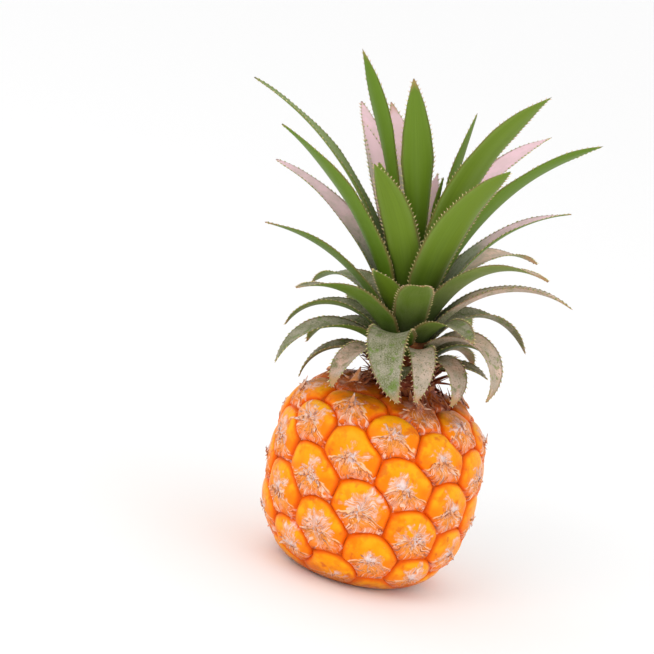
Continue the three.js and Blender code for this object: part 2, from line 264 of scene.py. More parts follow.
blotch_group, blotch_in, blotch_out = new_group(
    "blotches",
    [("Place", VECTOR), ("Size", VALUE), ("Cover", VALUE)],
    [("Blotch", VALUE), ("Speck", VALUE)],
)
wire = Wiring(blotch_group)
blotch_scale = wire.math("DIVIDE", 1.0, blotch_in["Size"])
blotch_noise = wire.noise(blotch_in["Place"], blotch_scale, 4.0)
blotch_edge = wire.minus(0.78, wire.times(blotch_in["Cover"], 0.5))
wire.put(blotch_out["Blotch"], wire.smooth(blotch_noise, blotch_edge, wire.plus(blotch_edge, 0.1)))
speck_noise = wire.noise(blotch_in["Place"], wire.times(blotch_scale, 3.7), 2.0)
wire.put(blotch_out["Speck"], wire.smooth(speck_noise, 0.56, 0.68))
print("groups", fibre_group.name, blotch_group.name)

# %% [markdown]
# ## Shape of the body
# The body is a barrel: round from above, and squarer than a ball from the side. It could be sculpted
# from a sphere, but everything that sits on the skin has to ask where the surface is and which way it
# faces. A formula answers both at any place, so the body is an ellipsoid with a power above two.

# %% Smooth body
BODY_RADIUS = 46.0
BODY_HEIGHT_ABOVE = 39.0
BODY_HEIGHT_BELOW = 46.3
BODY_CENTRE_Z = 44.0
BODY_SQUARENESS = 3.0


def half_height(height):
    """How far the body reaches above or below its middle, in mm."""
    return np.where(height < 0, BODY_HEIGHT_BELOW, BODY_HEIGHT_ABOVE)


def onto_body(points):
    """Points moved along rays from the middle of the body onto its smooth surface, in mm."""
    across = (np.hypot(points[..., 0], points[..., 1]) / BODY_RADIUS) ** BODY_SQUARENESS
    along = (np.abs(points[..., 2]) / half_height(points[..., 2])) ** BODY_SQUARENESS
    return points * ((across + along) ** (-1 / BODY_SQUARENESS))[..., None]


def body_normal(points):
    """Outward directions of the smooth body at points on it."""
    power = BODY_SQUARENESS - 1
    high = half_height(points[..., 2])
    radius = np.maximum(1e-6, np.hypot(points[..., 0], points[..., 1]))
    across = (radius / BODY_RADIUS) ** power / BODY_RADIUS
    along = np.sign(points[..., 2]) * (np.abs(points[..., 2]) / high) ** power / high
    normal = np.stack([points[..., 0] / radius * across, points[..., 1] / radius * across, along], -1)
    return normal / np.linalg.norm(normal, axis=-1, keepdims=True)


body_height = BODY_HEIGHT_ABOVE + BODY_HEIGHT_BELOW
print("body", 2 * BODY_RADIUS, "mm across and", body_height, "mm from pole to pole")

# %% [markdown]
# ## The spiral of eyes
# The eyes of a pineapple are flowers that set around one spiral, each turned by the golden angle from
# the last. They could be laid out in rings, but only the spiral gives the slanting rows that can be
# followed both ways around the fruit. Giving each eye an equal share of the skin fixes its height.

# %% Middles of the eyes
GOLDEN_ANGLE = 137.508
EYE_COUNT = 63
EYE_FIRST_ANGLE = 328.4
EYE_FIRST_SHARE = 0.5
OUTLINE_STEPS = 2001
UPWARD = np.array([0.0, 0.0, 1.0])


def unit(vectors):
    return vectors / np.maximum(1e-9, np.linalg.norm(vectors, axis=-1, keepdims=True))


def eye_middles():
    """The middle of every eye, from the lowest to the highest, in mm from the middle of the body."""
    turn_angle = np.linspace(-np.pi / 2, np.pi / 2, OUTLINE_STEPS)
    power = 2 / BODY_SQUARENESS
    radius = BODY_RADIUS * np.abs(np.cos(turn_angle)) ** power
    height = half_height(turn_angle) * np.sign(turn_angle) * np.abs(np.sin(turn_angle)) ** power
    slant = np.hypot(np.diff(radius), np.diff(height))
    area = np.concatenate([[0], np.cumsum((radius[1:] + radius[:-1]) * slant)])
    wanted = area[-1] * (np.arange(EYE_COUNT) + EYE_FIRST_SHARE) / EYE_COUNT
    at = np.searchsorted(area, wanted)
    angle = np.radians(EYE_FIRST_ANGLE + GOLDEN_ANGLE * np.arange(EYE_COUNT))
    return np.stack([radius[at] * np.sin(angle), -radius[at] * np.cos(angle), height[at]], -1)


eyes = eye_middles()
eye_out = body_normal(eyes)
eye_up = unit(UPWARD - eye_out * eye_out[:, 2:3])
eye_right = np.cross(eye_up, eye_out)
print(EYE_COUNT, "eyes, the lowest at", (eyes[0] + BODY_CENTRE_Z * UPWARD).round(1))

# %% [markdown]
# ## Which eyes touch
# Grooves run where two eyes meet, so each eye needs the list of its neighbours. Measuring every
# distance would need a limit that suits the whole fruit, and there is none. The same spiral on a ball
# has a hull of flat triangles, and its edges join exactly the eyes that touch.

# %% Neighbours of each eye


def ball_points():
    """The same spiral on a ball, where the hull joins each eye to its nearest neighbours."""
    height = 2 * (np.arange(EYE_COUNT) + EYE_FIRST_SHARE) / EYE_COUNT - 1
    angle = np.radians(EYE_FIRST_ANGLE + GOLDEN_ANGLE * np.arange(EYE_COUNT))
    radius = np.sqrt(1 - height ** 2)
    return np.stack([radius * np.sin(angle), -radius * np.cos(angle), height], -1)


hull = bmesh.new()
for point in ball_points():
    hull.verts.new(point)
hull.verts.index_update()
bmesh.ops.convex_hull(hull, input=list(hull.verts))
eye_neighbours = {}
for vert in hull.verts:
    around = [edge.other_vert(vert).index for edge in vert.link_edges]
    apart = eyes[around] - eyes[vert.index]
    bearing = np.arctan2(apart @ eye_up[vert.index], apart @ eye_right[vert.index])
    eye_neighbours[vert.index] = [around[at] for at in np.argsort(bearing)]
hull.free()
print("neighbours of an eye:", sorted({len(around) for around in eye_neighbours.values()}))

# %% [markdown]
# ## Rim of an eye
# An eye ends where the grooves around it run. Each groove lies halfway between two eyes and bows
# upwards a little, because the rounded top of the lower eye pushes up against the dry fan of the upper
# one. The grooves could be cut into a finished barrel, but here the rims come first: both eyes work
# out the same points for the groove that they share, so the skin has no cracks.

# %% Rim of an eye
RIM_STEPS = 10
RIM_BOW = 1.5
RIM_DRIFT = 0.8
RIM_DRIFT_SIZE = 9.0
RIM_DRIFT_STARTS = [Vector((9.3, -1.5, -7.9)), Vector((-7.1, 0.6, 8.4)), Vector((3.7, 9.8, 2.2))]


def wander(points, size, reach):
    """A smooth drift of points in mm, the same for the same point."""
    places = [Vector(point) / size for point in points.reshape(-1, 3)]
    drift = [[noise.noise(place + start) for start in RIM_DRIFT_STARTS] for place in places]
    return points + reach * np.array(drift).reshape(points.shape)


def groove_middle(eye, neighbour):
    """The middle of the groove between two eyes, bowed upwards where one eye lies above the other."""
    middle = onto_body((eyes[eye] + eyes[neighbour]) / 2)
    out = body_normal(middle)
    upward = unit(UPWARD - out * out[2])
    apart = eyes[eye] - eyes[neighbour]
    return middle + upward * RIM_BOW * abs(apart @ upward) / np.linalg.norm(apart)


def eye_rim(eye):
    """Points around the rim of an eye, on the smooth body, turning to the left."""
    around = eye_neighbours[eye]
    pairs = zip(around, around[1:] + around[:1])
    corners = [onto_body((eyes[eye] + eyes[a] + eyes[b]) / 3) for a, b in pairs]
    points = []
    for at, neighbour in enumerate(around):
        first, last = corners[at - 1], corners[at]
        middle = groove_middle(eye, neighbour)
        for step in range(RIM_STEPS):
            t = step / RIM_STEPS
            ends = first * (2 * t - 1) * (t - 1) + last * t * (2 * t - 1)
            points.append(ends + middle * 4 * t * (1 - t))
    return onto_body(wander(np.array(points), RIM_DRIFT_SIZE, RIM_DRIFT))


print("rim of the first eye", len(eye_rim(0)), "points")

# %% [markdown]
# ## Relief of an eye
# Each eye is a pillow with rounded corners. Below its nub lies the foot of a dry bract, which fans
# down to the groove in shallow folds and has a raised lip where it leaves the pillow. It could be
# sculpted once and copied, but no two eyes have the same outline. So all of this is a height over the
# smooth body, written as a formula of the place within the eye, and it can be read anywhere.

# %% Relief of an eye
GROOVE_DEPTH = 2.6
SKIN_SINK = 0.8
FAN_SLOPE = 0.5
FAN_SINK = 0.6
FOLD_DEPTH = 0.8
SCRAP_DEPTH = 0.6
LIP_HEIGHT = 0.4
NUB_HEIGHT, NUB_WIDTH = 0.9, 1.7
LONG_NUB_HEIGHT, LONG_NUB_WIDTH = 1.6, 1.5
SHOULDER_Z, SHOULDER_TOP_Z = 64.0, 82.0
CORNER_ROUNDING = 6
SEED_STEP = 37.0
skin_dice = np.random.default_rng(11)
eye_seed = skin_dice.random(EYE_COUNT)


def ease(low, high, value):
    """A share that eases from 0 at the low value to 1 at the high one."""
    share = np.clip((value - low) / (high - low), 0, 1)
    return share * share * (3 - 2 * share)


def ray_noise(u, v, seed, rays, stretch):
    """A seeded noise whose ridges run outwards from the nub of an eye."""
    reach = np.hypot(u, v) + 0.3
    places = np.stack([u / reach * rays, v / reach * rays, reach * stretch + seed * SEED_STEP], -1)
    return np.array([noise.noise(Vector(place)) for place in places.reshape(-1, 3)]).reshape(u.shape)


def rounded_reach(rim_reach):
    """How far the pillow reaches in each direction: the rim with its corners rounded off."""
    around = np.concatenate([rim_reach[-CORNER_ROUNDING:], rim_reach, rim_reach[:CORNER_ROUNDING]])
    window = 2 * CORNER_ROUNDING + 1
    smooth_reach = np.convolve(around, np.ones(window) / window, "valid")
    return np.minimum(rim_reach, (rim_reach + smooth_reach) / 2)


def eye_relief(u, v, share, seed, long_tip):
    """Height of an eye's skin over the smooth body, in mm, at a place in the eye."""
    inside = 1 - share ** 6
    from_nub = np.hypot(u, v)
    rays = ray_noise(u, v, seed, 2.2, 0.2) + 0.5 * ray_noise(u, v, seed + 0.4, 5.0, 0.35)
    over_fan = v - 0.4 + FAN_SLOPE * np.abs(u) - 1.6 * rays
    shield = ease(-0.5, 0.4, over_fan)
    pillow = GROOVE_DEPTH * ((1 - share ** (9 - 4.5 * shield)) ** 0.45 - 1)
    lip = LIP_HEIGHT * np.exp(-(((over_fan - 0.4) / 0.45) ** 2)) * ease(1.0, 3.0, np.abs(u))
    nub_width = NUB_WIDTH + LONG_NUB_WIDTH * long_tip
    nub = (NUB_HEIGHT + LONG_NUB_HEIGHT * long_tip) * np.exp(-((from_nub / nub_width) ** 2))
    folds = FOLD_DEPTH * rays * (1 - shield) * ease(0.4, 2.5, from_nub)
    near_nub = (1 - ease(2.5, 5.5, from_nub + 4 * rays)) * ease(0.4, 2.0, from_nub)
    torn = SCRAP_DEPTH * rays * shield * near_nub
    return pillow - SKIN_SINK + inside * (lip + nub + folds + torn - FAN_SINK * (1 - shield))


eye_long_tip = ease(SHOULDER_Z, SHOULDER_TOP_Z, eyes[:, 2] + BODY_CENTRE_Z)
up_eye = np.linspace(-9, 9, 7)
sample_relief = eye_relief(0 * up_eye, up_eye, np.abs(up_eye) / 10, 0.3, 0.0)
print("heights up one eye", sample_relief.round(2))

# %% [markdown]
# ## Skin of the fruit
# The skin could be one fine sphere with a displacement, but its faces would cut across the sharp
# grooves. A grid that runs from the nub of each eye to its rim follows the relief closely, with the
# rings closer together near the rim. The rim points are shared with the next eyes, so the skin is
# closed.

# %% Grid of one eye
RING_COUNT = 22
RING_CROWDING = 0.25
BASE_FADE_Z = 9.0
ring_steps = np.arange(1, RING_COUNT + 1) / RING_COUNT
ring_shares = ring_steps * (1 + RING_CROWDING - RING_CROWDING * ring_steps)


def eye_grid(eye):
    """Points of an eye from its nub to its rim, with their places u, v and share in the eye."""
    rim = eye_rim(eye)
    flat = (rim[None] - eyes[eye]) * ring_shares[:, None, None]
    u = flat @ eye_right[eye]
    v = flat @ eye_up[eye]
    rim_reach = np.linalg.norm(rim - eyes[eye], axis=-1)
    share = np.minimum(1, ring_shares[:, None] * rim_reach[None] / rounded_reach(rim_reach)[None])
    grid = onto_body(eyes[eye] + flat)
    fade = ease(0, BASE_FADE_Z, grid[..., 2] + BODY_CENTRE_Z)
    relief = eye_relief(u, v, share, eye_seed[eye], eye_long_tip[eye]) * fade
    return grid + body_normal(grid) * relief[..., None], np.stack([u, v, share], -1), rim


print("rings at", ring_shares[:3].round(3), "to", ring_shares[-3:].round(3))

# %% Skin mesh
skin_points = []
skin_faces = []
skin_places = []
point_numbers = {}


def point_number(key, point):
    """The number of a skin point, which is new only where no other eye has made it."""
    if key not in point_numbers:
        point_numbers[key] = len(skin_points)
        skin_points.append(point)
    return point_numbers[key]


def add_eye(eye):
    """Adds the faces of one eye and the place of each of their corners."""
    grid, places, rim = eye_grid(eye)
    sides = len(rim)
    numbers = np.zeros((RING_COUNT, sides), int)
    for ring in range(RING_COUNT):
        for at in range(sides):
            at_rim = ring == RING_COUNT - 1
            key = tuple(np.round(rim[at], 4)) if at_rim else (eye, ring, at)
            numbers[ring, at] = point_number(key, grid[ring, at])
    nub = np.zeros(1)
    lift = eye_relief(nub, nub, nub, eye_seed[eye], eye_long_tip[eye])[0]
    lift = lift * ease(0, BASE_FADE_Z, eyes[eye][2] + BODY_CENTRE_Z)
    nub_number = point_number((eye, "nub"), eyes[eye] + eye_out[eye] * lift)
    for at in range(sides):
        after = (at + 1) % sides
        skin_faces.append((nub_number, numbers[0, at], numbers[0, after]))
        skin_places.extend([(0, 0, 0, eye), (*places[0, at], eye), (*places[0, after], eye)])
        for ring in range(RING_COUNT - 1):
            corners = [(ring, at), (ring + 1, at), (ring + 1, after), (ring, after)]
            skin_faces.append(tuple(numbers[corner] for corner in corners))
            skin_places.extend([(*places[corner], eye) for corner in corners])


for eye in range(EYE_COUNT):
    add_eye(eye)
skin_points = np.array(skin_points) + BODY_CENTRE_Z * UPWARD
skin_points[:, 2] = np.maximum(0, skin_points[:, 2])
skin_places = np.array(skin_places)
print("skin", len(skin_points), "points,", len(skin_faces), "faces")

# %% [markdown]
# ### Maps of the skin
# A finish needs to know where it is within an eye. Two maps on the mesh tell it: one holds the place
# in mm around the nub, and the other the share of the way to the rim and the seed of the eye. Every
# corner of every face keeps its own values, because a point on a rim belongs to two or three eyes.

# %% Skin piece and its maps
SKIN_MAP_SPAN = 40.0


def new_piece(name, points, faces):
    """A mesh object at the origin, from points in mm."""
    mesh = bpy.data.meshes.new(name)
    mesh.from_pydata([tuple(point * MM) for point in points], [], faces)
    mesh.shade_smooth()
    piece = bpy.data.objects.new(name, mesh)
    bpy.context.scene.collection.objects.link(piece)
    return piece


fruit_skin = new_piece("fruit_skin", skin_points, skin_faces)
eye_map = fruit_skin.data.uv_layers.new(name="eye_map")
eye_map.data.foreach_set("uv", (0.5 + skin_places[:, :2] / SKIN_MAP_SPAN).astype(np.float32).ravel())
cell_map = fruit_skin.data.uv_layers.new(name="cell_map")
cell_values = np.stack([skin_places[:, 2], eye_seed[skin_places[:, 3].astype(int)]], -1)
cell_map.data.foreach_set("uv", cell_values.astype(np.float32).ravel())
print("maps", [layer.name for layer in fruit_skin.data.uv_layers])

# %% [markdown]
# ## Finish of the skin
# The skin has a smooth yellow pillow in each eye, torn scraps of the dry flower around its nub and a
# fibrous fan below. All this could be painted by hand on a picture, but a recipe stays sharp at any
# distance. It reads the place within the eye, so one recipe serves them all, and each eye's seed
# shifts its fibres and blotches.

# %% Places on the skin
RAY_DRIFT = 9.0
RAY_COUNT = 2.4
skin_finish, wire, shader = new_finish("orange_skin", 0.4)
eye_place = wire.map("eye_map")
cell_place = wire.map("cell_map")
place = wire.place()
share, seed = cell_place[0], cell_place[1]
u = wire.times(wire.minus(eye_place[0], 0.5), SKIN_MAP_SPAN)
v = wire.times(wire.minus(eye_place[1], 0.5), SKIN_MAP_SPAN)
aside = wire.math("ABSOLUTE", u)
drift_noise = wire.node("ShaderNodeTexNoise", {"Vector": place, "Scale": 170.0, "Detail": 1.0})
drift = wire.split(drift_noise.outputs["Color"])
bent_u = wire.plus(u, wire.times(wire.minus(drift[0], 0.5), RAY_DRIFT))
bent_v = wire.plus(v, wire.times(wire.minus(drift[1], 0.5), RAY_DRIFT))
from_nub = wire.plus(wire.times(bent_u, bent_u), wire.times(bent_v, bent_v))
from_nub = wire.math("SQRT", from_nub)
reach = wire.plus(from_nub, 0.3)
ray_place = wire.triple(
    wire.times(wire.math("DIVIDE", bent_u, reach), RAY_COUNT),
    wire.times(wire.math("DIVIDE", bent_v, reach), RAY_COUNT),
    wire.plus(wire.times(from_nub, 0.06), wire.times(seed, SEED_STEP)),
)
fibres = wire.group(fibre_group, {"Place": ray_place, "Cover": 0.27})
blotches = wire.group(blotch_group, {"Place": place, "Size": 0.0036, "Cover": 0.5})
wobble = wire.minus(wire.noise(place, 260.0, 3.0), 0.5)
ray = wire.minus(fibres["Broad"], 0.5)
print("finish", skin_finish.name, "reads the maps of the skin")

# %% [markdown]
# ### Pillow of an eye
# The pillow is yellow. Painted shade turns it a warmer orange towards its sides, and a painted
# highlight makes it brightest along its upper edge. It turns red-orange in the groove. Soft shares of
# the place in the eye blend one colour into the next. Noise bends every border a little, because a
# clean edge looks printed.

# %% Pillow colours
# Painted shade: the pillow turns a darker, warmer orange towards its sides.
skin_colour = wire.mix(wire.smooth(aside, 2.5, 9.0), tint("FF9E08"), tint("F88202"))
# Painted highlight: a brighter yellow band along the upper edge of the pillow.
painted_top_highlight = wire.times(wire.smooth(share, 0.35, 0.7), wire.smooth(v, -1.0, 4.0))
painted_top_highlight = wire.times(painted_top_highlight, wire.smooth(wobble, -0.16, 0.12))
skin_colour = wire.mix(wire.times(painted_top_highlight, 0.9), skin_colour, tint("FFAE14"))
skin_colour = wire.mix(wire.times(blotches["Blotch"], 0.4), skin_colour, tint("F47C12"))
scuff = wire.times(wire.smooth(wire.noise(place, 190.0, 3.0), 0.58, 0.7), 0.6)
skin_colour = wire.mix(scuff, skin_colour, tint("D4501E"))
groove = wire.smooth(wire.plus(share, wire.times(wobble, 0.08)), 0.82, 0.99)
skin_colour = wire.mix(wire.times(groove, 0.9), skin_colour, tint("EC5A00"))
pit = wire.times(wire.smooth(share, 0.97, 1.0), wire.smooth(wobble, -0.1, 0.1))
skin_colour = wire.mix(wire.times(pit, 0.6), skin_colour, tint("A03C06"))
print("pillow, scuffs and groove")

# %% [markdown]
# ### Scraps of the dry flower
# What is left of the flower lies around the nub in torn, pale scraps. Their reach is a distance that
# several noises push in and out, from broad worn sides to a ragged edge, so no two eyes have the same
# patch. Fibres that run outwards from the nub turn it from peach to pink.

# %% Scraps around the nub
hair = wire.math("ABSOLUTE", wire.minus(fibres["Fine"], 0.5))
hair = wire.rest(wire.smooth(hair, 0.0, 0.036))
ragged = wire.minus(wire.noise(place, 700.0, 2.0), 0.5)
scrap_reach = wire.plus(from_nub, wire.times(ray, 9.0))
scrap_reach = wire.plus(scrap_reach, wire.times(wobble, 13.0))
scrap_reach = wire.plus(scrap_reach, wire.times(ragged, 6.0))
scrap_reach = wire.plus(scrap_reach, wire.times(wire.minus(seed, 0.5), 4.0))
worn_side = wire.minus(wire.noise(place, 38.0, 1.0), 0.52)
scrap_reach = wire.minus(scrap_reach, wire.times(worn_side, 14.0))
scraps = wire.rest(wire.smooth(scrap_reach, 3.0, 6.4))
scrap_colour = wire.mix(wire.smooth(fibres["Fine"], 0.42, 0.58), tint("F99C58"), tint("F3C4B0"))
pink = wire.times(wire.smooth(wire.noise(place, 330.0, 2.0), 0.5, 0.62), 0.7)
scrap_colour = wire.mix(pink, scrap_colour, tint("F3CDC4"))
scrap_colour = wire.mix(wire.smooth(fibres["Fine"], 0.56, 0.66), scrap_colour, tint("FBE0D4"))
skin_colour = wire.mix(wire.times(scraps, 0.85), skin_colour, scrap_colour)
print("scraps reach about 5 mm")

# %% [markdown]
# ### Fan of the bract
# Below the nub the foot of the bract spreads like a fan. It uses the same border as the relief, so
# colour and shape end together. A pale lip on that border is a painted highlight, and a thin painted
# shadow under it makes the bract look laid over the pillow.

# %% Fan below the nub
over_fan = wire.plus(wire.minus(v, 0.4), wire.times(aside, FAN_SLOPE))
over_fan = wire.minus(over_fan, wire.times(ray, 6.5))
over_fan = wire.plus(over_fan, wire.times(wobble, 1.6))
fan = wire.rest(wire.smooth(over_fan, -0.6, 0.3))
fan_colour = wire.mix(wire.smooth(share, 0.4, 1.0), tint("FA9A3C"), tint("EE6E1C"))
fan_colour = wire.mix(wire.times(pink, 0.7), fan_colour, tint("EFB29A"))
slivers = wire.times(wire.smooth(fibres["Fine"], 0.53, 0.64), 0.75)
fan_colour = wire.mix(slivers, fan_colour, tint("FAD6C0"))
skin_colour = wire.mix(fan, skin_colour, fan_colour)
lip_zone = wire.times(wire.smooth(aside, 1.2, 2.6), wire.rest(wire.smooth(share, 0.8, 0.95)))
# Painted highlight: a pale band along the lip where the bract leaves the pillow.
lip = wire.times(wire.smooth(over_fan, -0.1, 0.3), wire.rest(wire.smooth(over_fan, 0.5, 1.0)))
skin_colour = wire.mix(wire.times(wire.times(lip, lip_zone), 0.7), skin_colour, tint("F9D6B0"))
# Painted shadow: a thin dark band just under the lip.
shade = wire.times(wire.smooth(over_fan, -0.9, -0.4), wire.rest(wire.smooth(over_fan, -0.3, 0.0)))
skin_colour = wire.mix(wire.times(wire.times(shade, lip_zone), 0.6), skin_colour, tint("A65A3A"))
print("fan with its lip and shade")

# %% [markdown]
# ### Nub, fibres, foot and painted crown shadow
# The nub is the palest spot. Thin purple-brown fibres cross the scraps and the fan, drawn where a
# stretched noise passes its middle value. The skin also browns where it stands on the table, and a
# painted shadow of the crown darkens it to brown under the crown. Both follow the height on the fruit.

# %% Nub, fibres, foot and painted crown shadow
nub_reach = wire.plus(wire.plus(from_nub, wire.times(ray, 8.0)), wire.times(wobble, 5.0))
nub = wire.rest(wire.smooth(nub_reach, 1.0, 2.8))
skin_colour = wire.mix(wire.times(nub, 0.9), skin_colour, tint("F2DAD6"))
fibre_zone = wire.math("MAXIMUM", fan, wire.times(scraps, 0.85))
fibre_zone = wire.times(fibre_zone, wire.smooth(from_nub, 0.5, 1.6))
fibre_zone = wire.times(fibre_zone, wire.smooth(wobble, -0.12, 0.06))
skin_colour = wire.mix(wire.times(wire.times(hair, fibre_zone), 0.75), skin_colour, tint("7C3A32"))
dark_fibre = wire.times(fibres["Streak"], wire.times(fibre_zone, 0.7))
skin_colour = wire.mix(dark_fibre, skin_colour, tint("83443A"))
height = wire.split(place)[2]
foot_edge = wire.plus(height, wire.times(wobble, 0.012))
foot = wire.rest(wire.smooth(foot_edge, 0.001, 0.010))
skin_colour = wire.mix(wire.times(foot, 0.6), skin_colour, tint("B4622A"))
# Painted shadow of the crown: the skin darkens to brown near the top, under the leaves.
crown_shadow_edge = wire.plus(height, wire.times(wobble, 0.008))
crown_shadow = wire.times(wire.smooth(crown_shadow_edge, 0.0745, 0.0815), 0.8)
skin_colour = wire.mix(crown_shadow, skin_colour, tint("8E3810"))
wire.put(shader.inputs["Base Color"], skin_colour)
print("skin colours joined to", shader.name)

# %% [markdown]
# ### Gloss and fine relief
# The pillows are waxy and the dry parts are dull, so the roughness follows the same masks as the
# colours. Fibres and pores are too fine for the mesh, and a bump gives them to the light alone.

# %% Skin gloss and fine relief
paper = wire.math("MAXIMUM", wire.math("MAXIMUM", fan, scraps), nub)
shader.inputs["Specular IOR Level"].default_value = 0.1
rough = wire.plus(0.36, wire.times(paper, 0.36))
wire.put(shader.inputs["Roughness"], wire.plus(rough, wire.times(wobble, 0.2)))
fibre_height = wire.times(fibres["Fine"], paper)
pore_height = wire.times(wire.noise(place, 900.0, 2.0), 0.4)
skin_height = wire.plus(fibre_height, pore_height)
wire.bump(shader, skin_height, 0.6 * MM, 0.6)
fruit_skin.data.materials.append(skin_finish)
print("finish", skin_finish.name)

# %% [markdown]
# ## Neck and stem
# The crown grows from a short stem that tapers to a bud among the leaves. It could be a cone from the
# Add menu, but the leaves have to know its radius at any height. So it is turned from a formula on the
# crown's own axis, which leans away from the axis of the fruit. Most of it hides behind leaf bases.

# %% Frame of the crown
CROWN_START = np.array([2.5, 0.0, 86.0])
CROWN_LEAN = math.radians(10.0)
crown_axes = np.array([
    [math.cos(CROWN_LEAN), 0.0, math.sin(CROWN_LEAN)],
    [0.0, 1.0, 0.0],
    [-math.sin(CROWN_LEAN), 0.0, math.cos(CROWN_LEAN)],
])


def from_crown(points):
    """Points of the crown's own frame in the frame of the fruit, in mm."""
    return points @ crown_axes + CROWN_START


print("crown axis", crown_axes[2].round(3))

# %% Neck mesh
STEM_HEIGHT = 41.0
STEM_RADIUS = 12.5
STEM_TIP_RADIUS = 2.4
STEM_TAPER_POWER = 1.25
STEM_BUD = 11.0
STEM_SUNK = 12.0
STEM_SIDES = 40
STEM_RINGS = 14
STEM_RIBS = 8
STEM_RIB_DEPTH = 0.03


def stem_radius(height):
    """Radius of the stem at a height along the crown's axis, in mm."""
    share = np.clip(height / STEM_HEIGHT, 0, 1)
    return STEM_RADIUS + (STEM_TIP_RADIUS - STEM_RADIUS) * share ** STEM_TAPER_POWER


stem_heights = np.concatenate([[-STEM_SUNK], np.linspace(0, STEM_HEIGHT, STEM_RINGS)])
stem_turns = 2 * np.pi * np.arange(STEM_SIDES) / STEM_SIDES
stem_points = [(0, 0, -STEM_SUNK)]
for height in stem_heights:
    radius = stem_radius(height) * (1 + STEM_RIB_DEPTH * np.cos(stem_turns * STEM_RIBS + height))
    ring = (radius * np.cos(stem_turns), radius * np.sin(stem_turns), np.full(STEM_SIDES, height))
    stem_points += list(zip(*ring))
stem_points.append((0, 0, STEM_HEIGHT + STEM_BUD))
stem_faces = []
for side in range(STEM_SIDES):
    after = (side + 1) % STEM_SIDES
    stem_faces.append((0, 1 + after, 1 + side))
    for level in range(len(stem_heights) - 1):
        low = 1 + level * STEM_SIDES
        stem_faces.append((low + side, low + after, low + STEM_SIDES + after, low + STEM_SIDES + side))
    last = 1 + (len(stem_heights) - 1) * STEM_SIDES
    stem_faces.append((last + side, last + after, len(stem_points) - 1))
crown_neck = new_piece("crown_neck", from_crown(np.array(stem_points)), stem_faces)
print("neck", len(stem_points), "points")

# %% [markdown]
# ### Finish of the neck
# Only chinks of the neck show between the bracts, so its finish is short: the shared blotches in two
# browns, turning green higher up where the young leaves start.

# %% Neck finish
neck_finish, wire, shader = new_finish("neck_brown", 0.7)
place = wire.place()
blotches = wire.group(blotch_group, {"Place": place, "Size": 0.004, "Cover": 0.5})
neck_colour = wire.mix(blotches["Blotch"], tint("8A3A14"), tint("B9682E"))
neck_colour = wire.mix(wire.times(blotches["Speck"], 0.6), neck_colour, tint("4E2410"))
neck_colour = wire.mix(wire.smooth(wire.split(place)[2], 0.098, 0.115), neck_colour, tint("5F7A2E"))
wire.put(shader.inputs["Base Color"], neck_colour)
wire.bump(shader, wire.noise(place, 500.0, 3.0), 0.5 * MM, 0.7)
crown_neck.data.materials.append(neck_finish)
print("finish", neck_finish.name)

# %% [markdown]
# ## Thin sheets
# Leaves, bracts and flakes are all thin blades with sharp edges. A flat grid with a Solidify modifier
# would give them a square wall all around. Here a blade is two sheets that part in the middle and
# share their border points, which closes it and leaves its edge sharp.

# %% Closed sheets


def closed_sheet(middle, above, thickness):
    """Points and faces of a blade with its rows along it; the upper faces come first."""
    rows, columns = thickness.shape
    thickness = thickness.copy()
    thickness[[0, -1], :] = 0
    thickness[:, [0, -1]] = 0
    upper = middle + above * thickness[..., None] / 2
    under = middle - above * thickness[..., None] / 2
    upper_number = np.arange(rows * columns).reshape(rows, columns)
    under_number = upper_number.copy()
    inner = (rows - 2) * (columns - 2)
    under_number[1:-1, 1:-1] = rows * columns + np.arange(inner).reshape(rows - 2, columns - 2)
    points = np.concatenate([upper.reshape(-1, 3), under[1:-1, 1:-1].reshape(-1, 3)])
    faces = []
    for number, outward in ((upper_number, True), (under_number, False)):
        corners = [number[:-1, :-1], number[:-1, 1:], number[1:, 1:], number[1:, :-1]]
        quads = np.stack(corners, -1).reshape(-1, 4)
        faces.append(quads if outward else quads[:, ::-1])
    return points, np.concatenate(faces), upper_number, under_number


def sheet_map(piece, name, across, along, upper_number, under_number):
    """A map of a blade: across from 0 to 1 and along from 0 to 1."""
    values = np.zeros((len(piece.data.vertices), 2), np.float32)
    for number in (upper_number, under_number):
        values[number.ravel(), 0] = across.ravel()
        values[number.ravel(), 1] = along.ravel()
    layer = piece.data.uv_layers.new(name=name)
    loops = np.zeros(len(piece.data.loops), np.int32)
    piece.data.loops.foreach_get("vertex_index", loops)
    layer.data.foreach_set("uv", values[loops].ravel())


print("closed sheets and their maps ready")

# %% [markdown]
# ## Dry bracts
# The tip of each eye's bract stands off the skin as a pale, torn point, with a few papery flakes of the
# old flower around it. On the shoulder the points grow long, and a collar of brown bracts hides the
# neck. A script could copy a mesh a thousand times, but Geometry Nodes do it at once and keep the
# sizes as inputs. The tree takes points that know which way is out and which way is up, and sets a
# small blade on each with a seeded turn and size.

# %% Tree for blades on points
GEOMETRY = "NodeSocketGeometry"


def new_tree(name, inputs, output):
    """A Geometry Nodes tree with named inputs, its wiring helper and the inputs that it is given."""
    tree = bpy.data.node_groups.new(name, "GeometryNodeTree")
    for label, kind in inputs:
        tree.interface.new_socket(label, in_out="INPUT", socket_type=kind)
    tree.interface.new_socket(output, in_out="OUTPUT", socket_type=GEOMETRY)
    wire = Wiring(tree)
    return tree, wire, wire.node("NodeGroupInput").outputs


def named_value(wire, name, kind):
    """A value that is kept on the mesh under a name."""
    reader = wire.node("GeometryNodeInputNamedAttribute", {"Name": name}, data_type=kind)
    return reader.outputs["Attribute"]


def painted_copies(wire, copies, finish):
    """Placed copies as plain faces with their finish."""
    real = wire.node("GeometryNodeRealizeInstances", {"Geometry": copies.outputs[0]}).outputs[0]
    return wire.node("GeometryNodeSetMaterial", {"Geometry": real, "Material": finish}).outputs[0]


